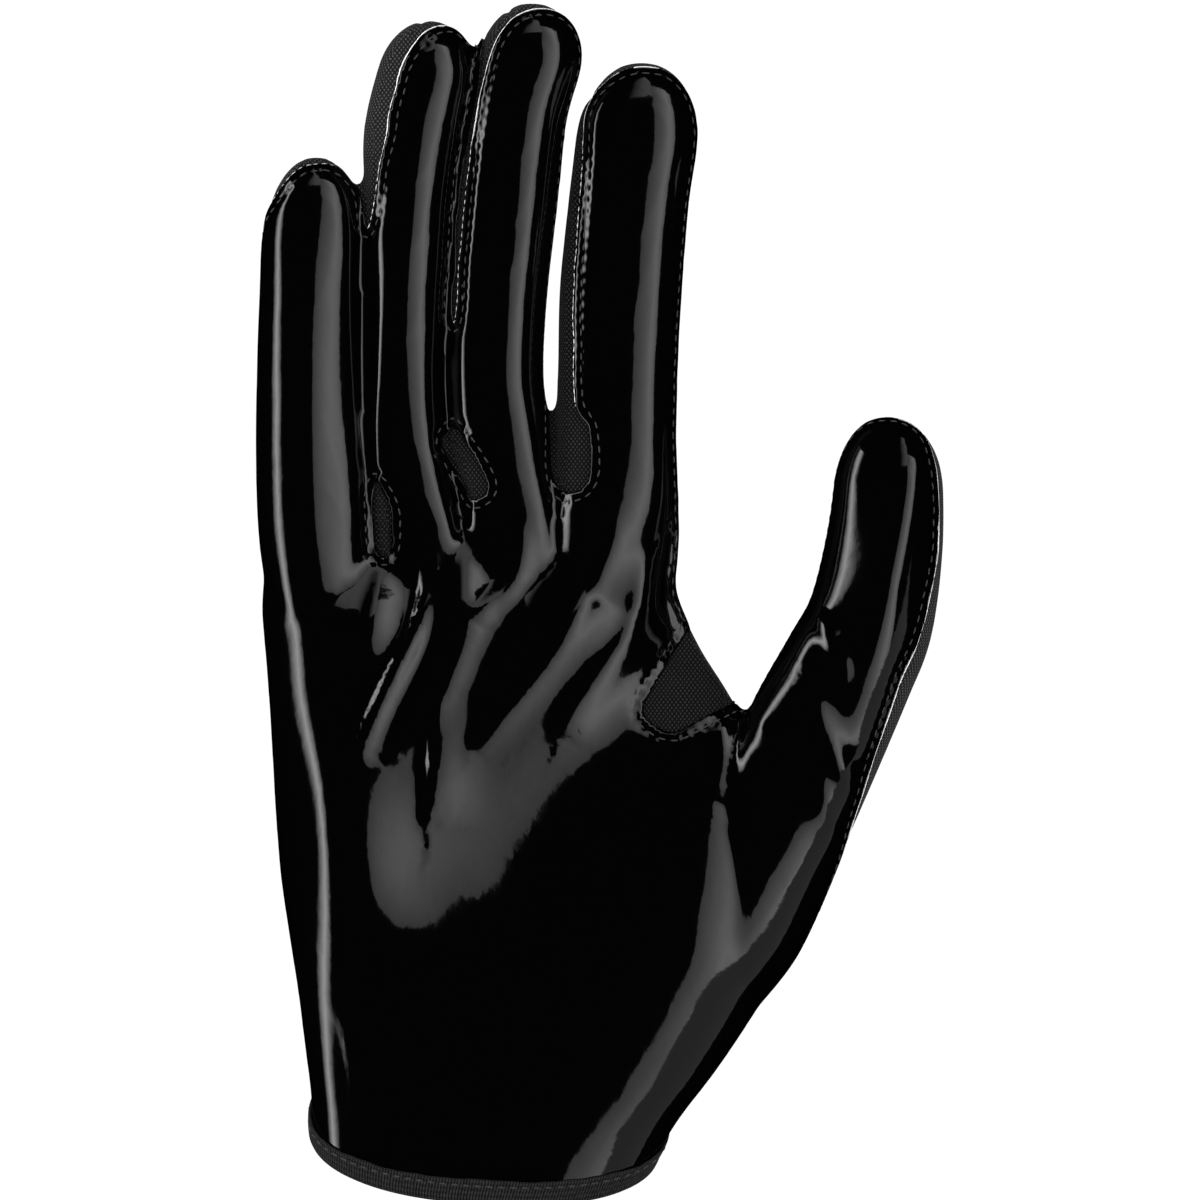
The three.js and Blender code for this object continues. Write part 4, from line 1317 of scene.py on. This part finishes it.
def panels_under_palm(skin):
    """The panels' numbers where each knitted panel also runs a little way under the palm's edge."""
    fabric = skin.panel > PALM_PANEL
    under = np.flatnonzero(~fabric & (skin.distance[skin.faces].max(1) < 3.2))
    centres = skin.points[skin.faces].mean(1)
    index, _ = nearest(centres[fabric], centres[under])
    panel = skin.panel.copy()
    panel[under] = skin.panel[fabric][index]
    return panel


class MakeKnitPanels(bpy.types.Operator):
    """Makes the knitted back, the side strips between the fingers and the thumb gusset"""

    bl_idname = "glove.knit_panels"
    bl_label = "Back, strips and gusset"

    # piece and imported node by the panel's number
    pieces = {
        1: ("strip_pinky_ring", "fourchette_pinky_ring"),
        2: ("strip_ring_middle", "fourchette_ring_middle"),
        3: ("strip_middle_index", "fourchette_middle_index"),
        4: ("gusset_thumb", "thumb_gusset"),
        5: ("back_of_hand", "back"),
    }
    # how far each strip swells into the gap between its fingers, mm, and the shorter of the two
    swells = {1: (1.05, "pinky"), 2: (1.05, "ring"), 3: (0.7, "index")}

    def depth_and_painted_shade(self, skin, number, faces, at_hem, inset):
        """How deep the cloth lies under the skin, mm, and how much painted shade darkens it, at every point.
        """
        near = np.unique(faces)
        rim = rim_edges(faces)
        rim = np.unique(rim[~at_hem[rim].all(1)])
        _, gap = nearest(skin.points[rim], skin.points[near])
        depth = np.full(len(skin.points), inset)
        # painted shade darkens the strips and the gusset; the back keeps its own colour
        painted_shade = np.full(len(skin.points), 0.0 if number == BACK_PANEL else 0.65)
        under_palm = np.clip(skin.distance / 1.2, 0, 1) * skin.inside * 0.25
        depth[near] += 0.38 * np.exp(-((gap / 0.9) ** 2)) + under_palm[near]
        if number in self.swells:
            swell, shorter = self.swells[number]
            tip = DIGITS[shorter].rows.y[-1] * LENGTH + ORIGIN[1]
            between = np.clip((tip - 4 - skin.points[near, 1]) / 12, 0, 1) * ~skin.inside[near]
            # above the shorter finger's tip the strips at the ring finger lie open, without the painted shade
            if shorter != "index":
                painted_shade *= np.clip((tip + 4 - skin.points[:, 1]) / 16, 0, 1)
            clear = np.minimum(gap - 1.2, skin.distance[near] - 0.6)
            depth[near] -= swell * between * np.clip(clear / 1.5, 0, 1)
        return depth, painted_shade

    def execute(self, context):
        sizes, colours = context.scene.glove_sizes, context.scene.glove_colours
        skin = glove_skin()
        cloth = knit("knit", colours.knit, sizes)
        panel = panels_under_palm(skin)
        at_hem = np.zeros(len(skin.points), bool)
        at_hem[rim_edges(skin.faces)] = True
        for number, (name, node) in self.pieces.items():
            faces = skin.faces[panel == number]
            if not len(faces):
                raise RuntimeError(f"no faces for {name}")
            depth, painted_shade = self.depth_and_painted_shade(skin, number, faces, at_hem, sizes.knit_inset / MM)
            outer = skin.points - skin.normals * depth[:, None]
            made = panel_piece(name, outer, faces, sizes.knit_sheet, [cloth], {"painted_shade": painted_shade})
            box_uv(made)
            settle(made, "knit", node)
        return {"FINISHED"}


# Section of the folded tape: inset from the skin and rise above the panels' edge, mm
TAPE_SECTION = np.array(
    [
        [-1.0, 3.0], [-1.12, 2.4], [-1.2, 1.4], [-1.2, 0.4], [-1.12, -0.4], [-0.85, -0.9], [-0.3, -1.12],
        [0.6, -1.15], [1.4, -1.1], [1.95, -0.85], [2.2, -0.3], [2.25, 0.6], [2.2, 1.6], [2.1, 2.6],
        [2.0, 3.0], [1.7, 3.1], [1.52, 2.9], [1.5, 1.6], [1.5, 0.2], [1.3, -0.25], [0.6, -0.32],
        [-0.1, -0.28], [-0.36, 0.2], [-0.4, 1.6], [-0.42, 2.85], [-0.65, 3.12],
    ]
)


class MakeBinding(bpy.types.Operator):
    """Makes the folded tape round the hem with its stitch row"""

    bl_idname = "glove.binding"
    bl_label = "Hem tape"

    def tape(self, around, material):
        """The closed loop of tape, with its map in millimetres round the hem and across the tape."""
        turn = full_turn(around)
        wave = 0.10 * np.sin(9 * turn + 0.7) + 0.07 * np.sin(17 * turn) + 0.05 * np.sin(41 * turn + 2)
        rings = []
        for inset, rise in TAPE_SECTION:
            ring = body_ring(body_place(max(rise, 0)), inset, min(rise, 0), around)
            ring[:, 1] += wave * max(rise, 0) / TAPE_TOP
            rings.append(ring)
        rings = np.array(rings) + ORIGIN
        faces = []
        for k in range(len(rings)):
            row, onward = k * around, (k + 1) % len(rings) * around
            for i in range(around):
                j = (i + 1) % around
                faces.append([row + i, row + j, onward + j, onward + i])
        made = new_object("hem_tape", rings.reshape(-1, 3), faces, [material])
        face_outwards(made)
        smooth(made)
        steps = np.linalg.norm(np.roll(rings[2], -1, 0) - rings[2], axis=1)
        lap = np.concatenate([[0], np.cumsum(steps)])
        rows = np.concatenate([[0], np.cumsum(np.linalg.norm(np.diff(TAPE_SECTION, axis=0), axis=1))])
        layer = made.data.uv_layers.new(name="weave")
        for polygon in made.data.polygons:
            corners = [(c, *divmod(made.data.loops[c].vertex_index, around)) for c in polygon.loop_indices]
            wraps = any(i == around - 1 for _, _, i in corners)
            for corner, k, i in corners:
                layer.data[corner].uv = (lap[-1] if wraps and i == 0 else lap[i], rows[k])
        return made

    def execute(self, context):
        sizes, colours = context.scene.glove_sizes, context.scene.glove_colours
        around = 420
        settle(self.tape(around, tape_cloth(colours)), "tape", "cuff_binding")
        row = body_ring(body_place(TAPE_TOP - 1.0), -1.08, 0, around) + ORIGIN
        row = np.vstack([row, row[:2]])
        up = row - row.mean(0)
        up[:, 1] = 0
        path, up, _ = evenly(row, unit(up), spacing=sizes.stitch_pitch / MM)
        settle(place_stitches("hem_stitches", [(path, up)], sizes, thread(colours)), "tape")
        return {"FINISHED"}


class MakeStitches(bpy.types.Operator):
    """Sews the stitch row just inside the palm's cut edge"""

    bl_idname = "glove.stitches"
    bl_label = "Palm stitches"

    def execute(self, context):
        sizes, colours = context.scene.glove_sizes, context.scene.glove_colours
        step = max(1, round(sizes.stitch_pitch / MM / SEWN_STEP))
        sunk = 0.02
        lines = [(path[::step] - up[::step] * sunk, up[::step]) for path, up, _ in glove_skin().lines]
        settle(place_stitches("palm_stitches", lines, sizes, thread(colours)), "palm_coating")
        return {"FINISHED"}


class MakeStage(bpy.types.Operator):
    """Sets up the light table, the soft lights and the camera over the palm"""

    bl_idname = "glove.stage"
    bl_label = "Table, lights and camera"

    # height in m, degrees across and along the glove, share of the key light, and its change across
    ceiling = {
        "key_box": (
            1.2, (16, 53), (-29, 55), 1.0, ((0, 0.3), (0.3, 0.62), (0.6, 1.0), (0.8, 0.85), (1, 0.55))
        ),
        "key_foot": (1.18, (16, 30), (-34, -29), 1.0, ((0, 0.3), (1, 0.58))),
        "low_card": (1.2, (12, 76), (-70, -29), 0.2, ((0, 0.7), (1, 1.0))),
        "head_card": (1.2, (-15, 16), (43, 76), 0.7, ((0, 0), (0.6, 0.5), (1, 0.6))),
    }

    def fill_light(self, name, direction, distance, size, radiance):
        """A soft light from this direction that the coated palm doesn't mirror."""
        data = bpy.data.lights.new(name, "AREA")
        data.shape = "RECTANGLE"
        data.size, data.size_y = size
        data.energy = radiance * math.pi * size[0] * size[1]
        made = bpy.data.objects.new(name, data)
        bpy.context.scene.collection.objects.link(made)
        heading = Vector(direction).normalized()
        made.location = heading * distance
        made.rotation_euler = heading.to_track_quat("Z", "Y").to_euler()
        made.visible_glossy = False
        made.visible_camera = False

    def card(self, name, centre, size, turn, radiance, axis, *stops):
        """A lit rectangle, unseen by the camera, that the coated palm mirrors."""
        bpy.ops.object.select_all(action="DESELECT")
        bpy.ops.mesh.primitive_plane_add(size=1)
        made = bpy.context.active_object
        made.name = name
        made.scale = (*size, 1)
        bpy.ops.object.transform_apply(location=False, rotation=False, scale=True)
        made.location, made.rotation_euler = centre, turn
        made.data.materials.append(lit_card(name, radiance, axis, size[axis], *stops))
        made.visible_camera = False

    def ceiling_card(self, name, height, across, along, radiance, *stops):
        """A level card that spans these degrees from straight up, across and along the glove."""
        left, right = (height * math.tan(math.radians(a)) for a in across)
        low, high = (height * math.tan(math.radians(a)) for a in along)
        centre = ((left + right) / 2, (low + high) / 2, height)
        self.card(name, centre, (right - left, high - low), (0, 0, 0), radiance, 0, *stops)

    def table(self, stage):
        bpy.ops.object.select_all(action="DESELECT")
        bpy.ops.mesh.primitive_plane_add(size=6, location=(0, 0, -0.0003))
        made = bpy.context.active_object
        made.name = "floor"
        made.data.materials.append(lit_table(stage.floor, stage.table))
        made.visible_glossy = False

    def surroundings(self, strength=0.9):
        """Even white light from all round, which the coated palm doesn't mirror."""
        world = bpy.data.worlds.new("studio")
        bpy.context.scene.world = world
        world.use_nodes = True
        nodes, links = world.node_tree.nodes, world.node_tree.links
        back = nodes["Background"]
        back.inputs["Color"].default_value = (1, 1, 1, 1)
        back.inputs["Strength"].default_value = strength
        path = nodes.new("ShaderNodeLightPath")
        without_mirrors = nodes.new("ShaderNodeMapRange")
        without_mirrors.inputs["To Min"].default_value = strength
        without_mirrors.inputs["To Max"].default_value = 0.0
        links.new(path.outputs["Is Glossy Ray"], without_mirrors.inputs["Value"])
        links.new(without_mirrors.outputs[0], back.inputs["Strength"])

    def camera(self, height=1.5, glove_height=0.017, width=0.2466):
        """A camera straight above that takes in this width at half the glove's height."""
        data = bpy.data.cameras.new("camera")
        data.sensor_width = 36
        data.lens = data.sensor_width * (height - glove_height) / width
        data.clip_end = 20
        made = bpy.data.objects.new("camera", data)
        made.location = (0, 0, height)
        scene = bpy.context.scene
        scene.collection.objects.link(made)
        scene.camera = made
        scene.view_settings.view_transform = "Standard"

    def execute(self, context):
        stage = context.scene.glove_stage
        self.table(stage)
        for name, (height, across, along, share, stops) in self.ceiling.items():
            self.ceiling_card(name, height, across, along, share * stage.key, *stops)
        upright = (0, math.radians(90), 0)
        fading = ((0, 0.0), (0.5, 1.0), (1, 0.0))
        self.card("side_card", (-1.3, 0, 0.28), (0.46, 2.2), upright, stage.side, 0, *fading)
        self.fill_light("fill_left", (-0.6, 0.1, 1.0), 1.6, (1.6, 2.4), stage.fill)
        self.fill_light("fill_right", (0.7, -0.4, 0.9), 1.6, (1.6, 2.0), stage.fill)
        self.surroundings()
        self.camera()
        return {"FINISHED"}


class GLOVE_PT_make(bpy.types.Panel):
    """Lists the steps that make the glove"""

    bl_idname = "GLOVE_PT_make"
    bl_label = "Receiver glove"
    bl_space_type = "VIEW_3D"
    bl_region_type = "UI"
    bl_category = "Glove"

    def draw(self, context):
        for group in (context.scene.glove_sizes, context.scene.glove_colours, context.scene.glove_stage):
            for key in group.bl_rna.properties.keys():
                if key not in ("rna_type", "name"):
                    self.layout.prop(group, key)
        for operator in OPERATORS:
            self.layout.operator(operator.bl_idname)


OPERATORS = (MakePalm, MakeKnitPanels, MakeBinding, MakeStitches, MakeStage)
CLASSES = (GloveSizes, GloveColours, GloveStage, *OPERATORS, GLOVE_PT_make)


def register():
    for made in CLASSES:
        bpy.utils.register_class(made)
    bpy.types.Scene.glove_sizes = PointerProperty(type=GloveSizes)
    bpy.types.Scene.glove_colours = PointerProperty(type=GloveColours)
    bpy.types.Scene.glove_stage = PointerProperty(type=GloveStage)


def unregister():
    for key in ("glove_sizes", "glove_colours", "glove_stage"):
        delattr(bpy.types.Scene, key)
    for made in reversed(CLASSES):
        bpy.utils.unregister_class(made)


def main():
    register()
    bpy.ops.glove.palm()
    bpy.ops.glove.knit_panels()
    bpy.ops.glove.binding()
    bpy.ops.glove.stitches()
    bpy.ops.glove.stage()


if __name__ == "__main__":
    main()
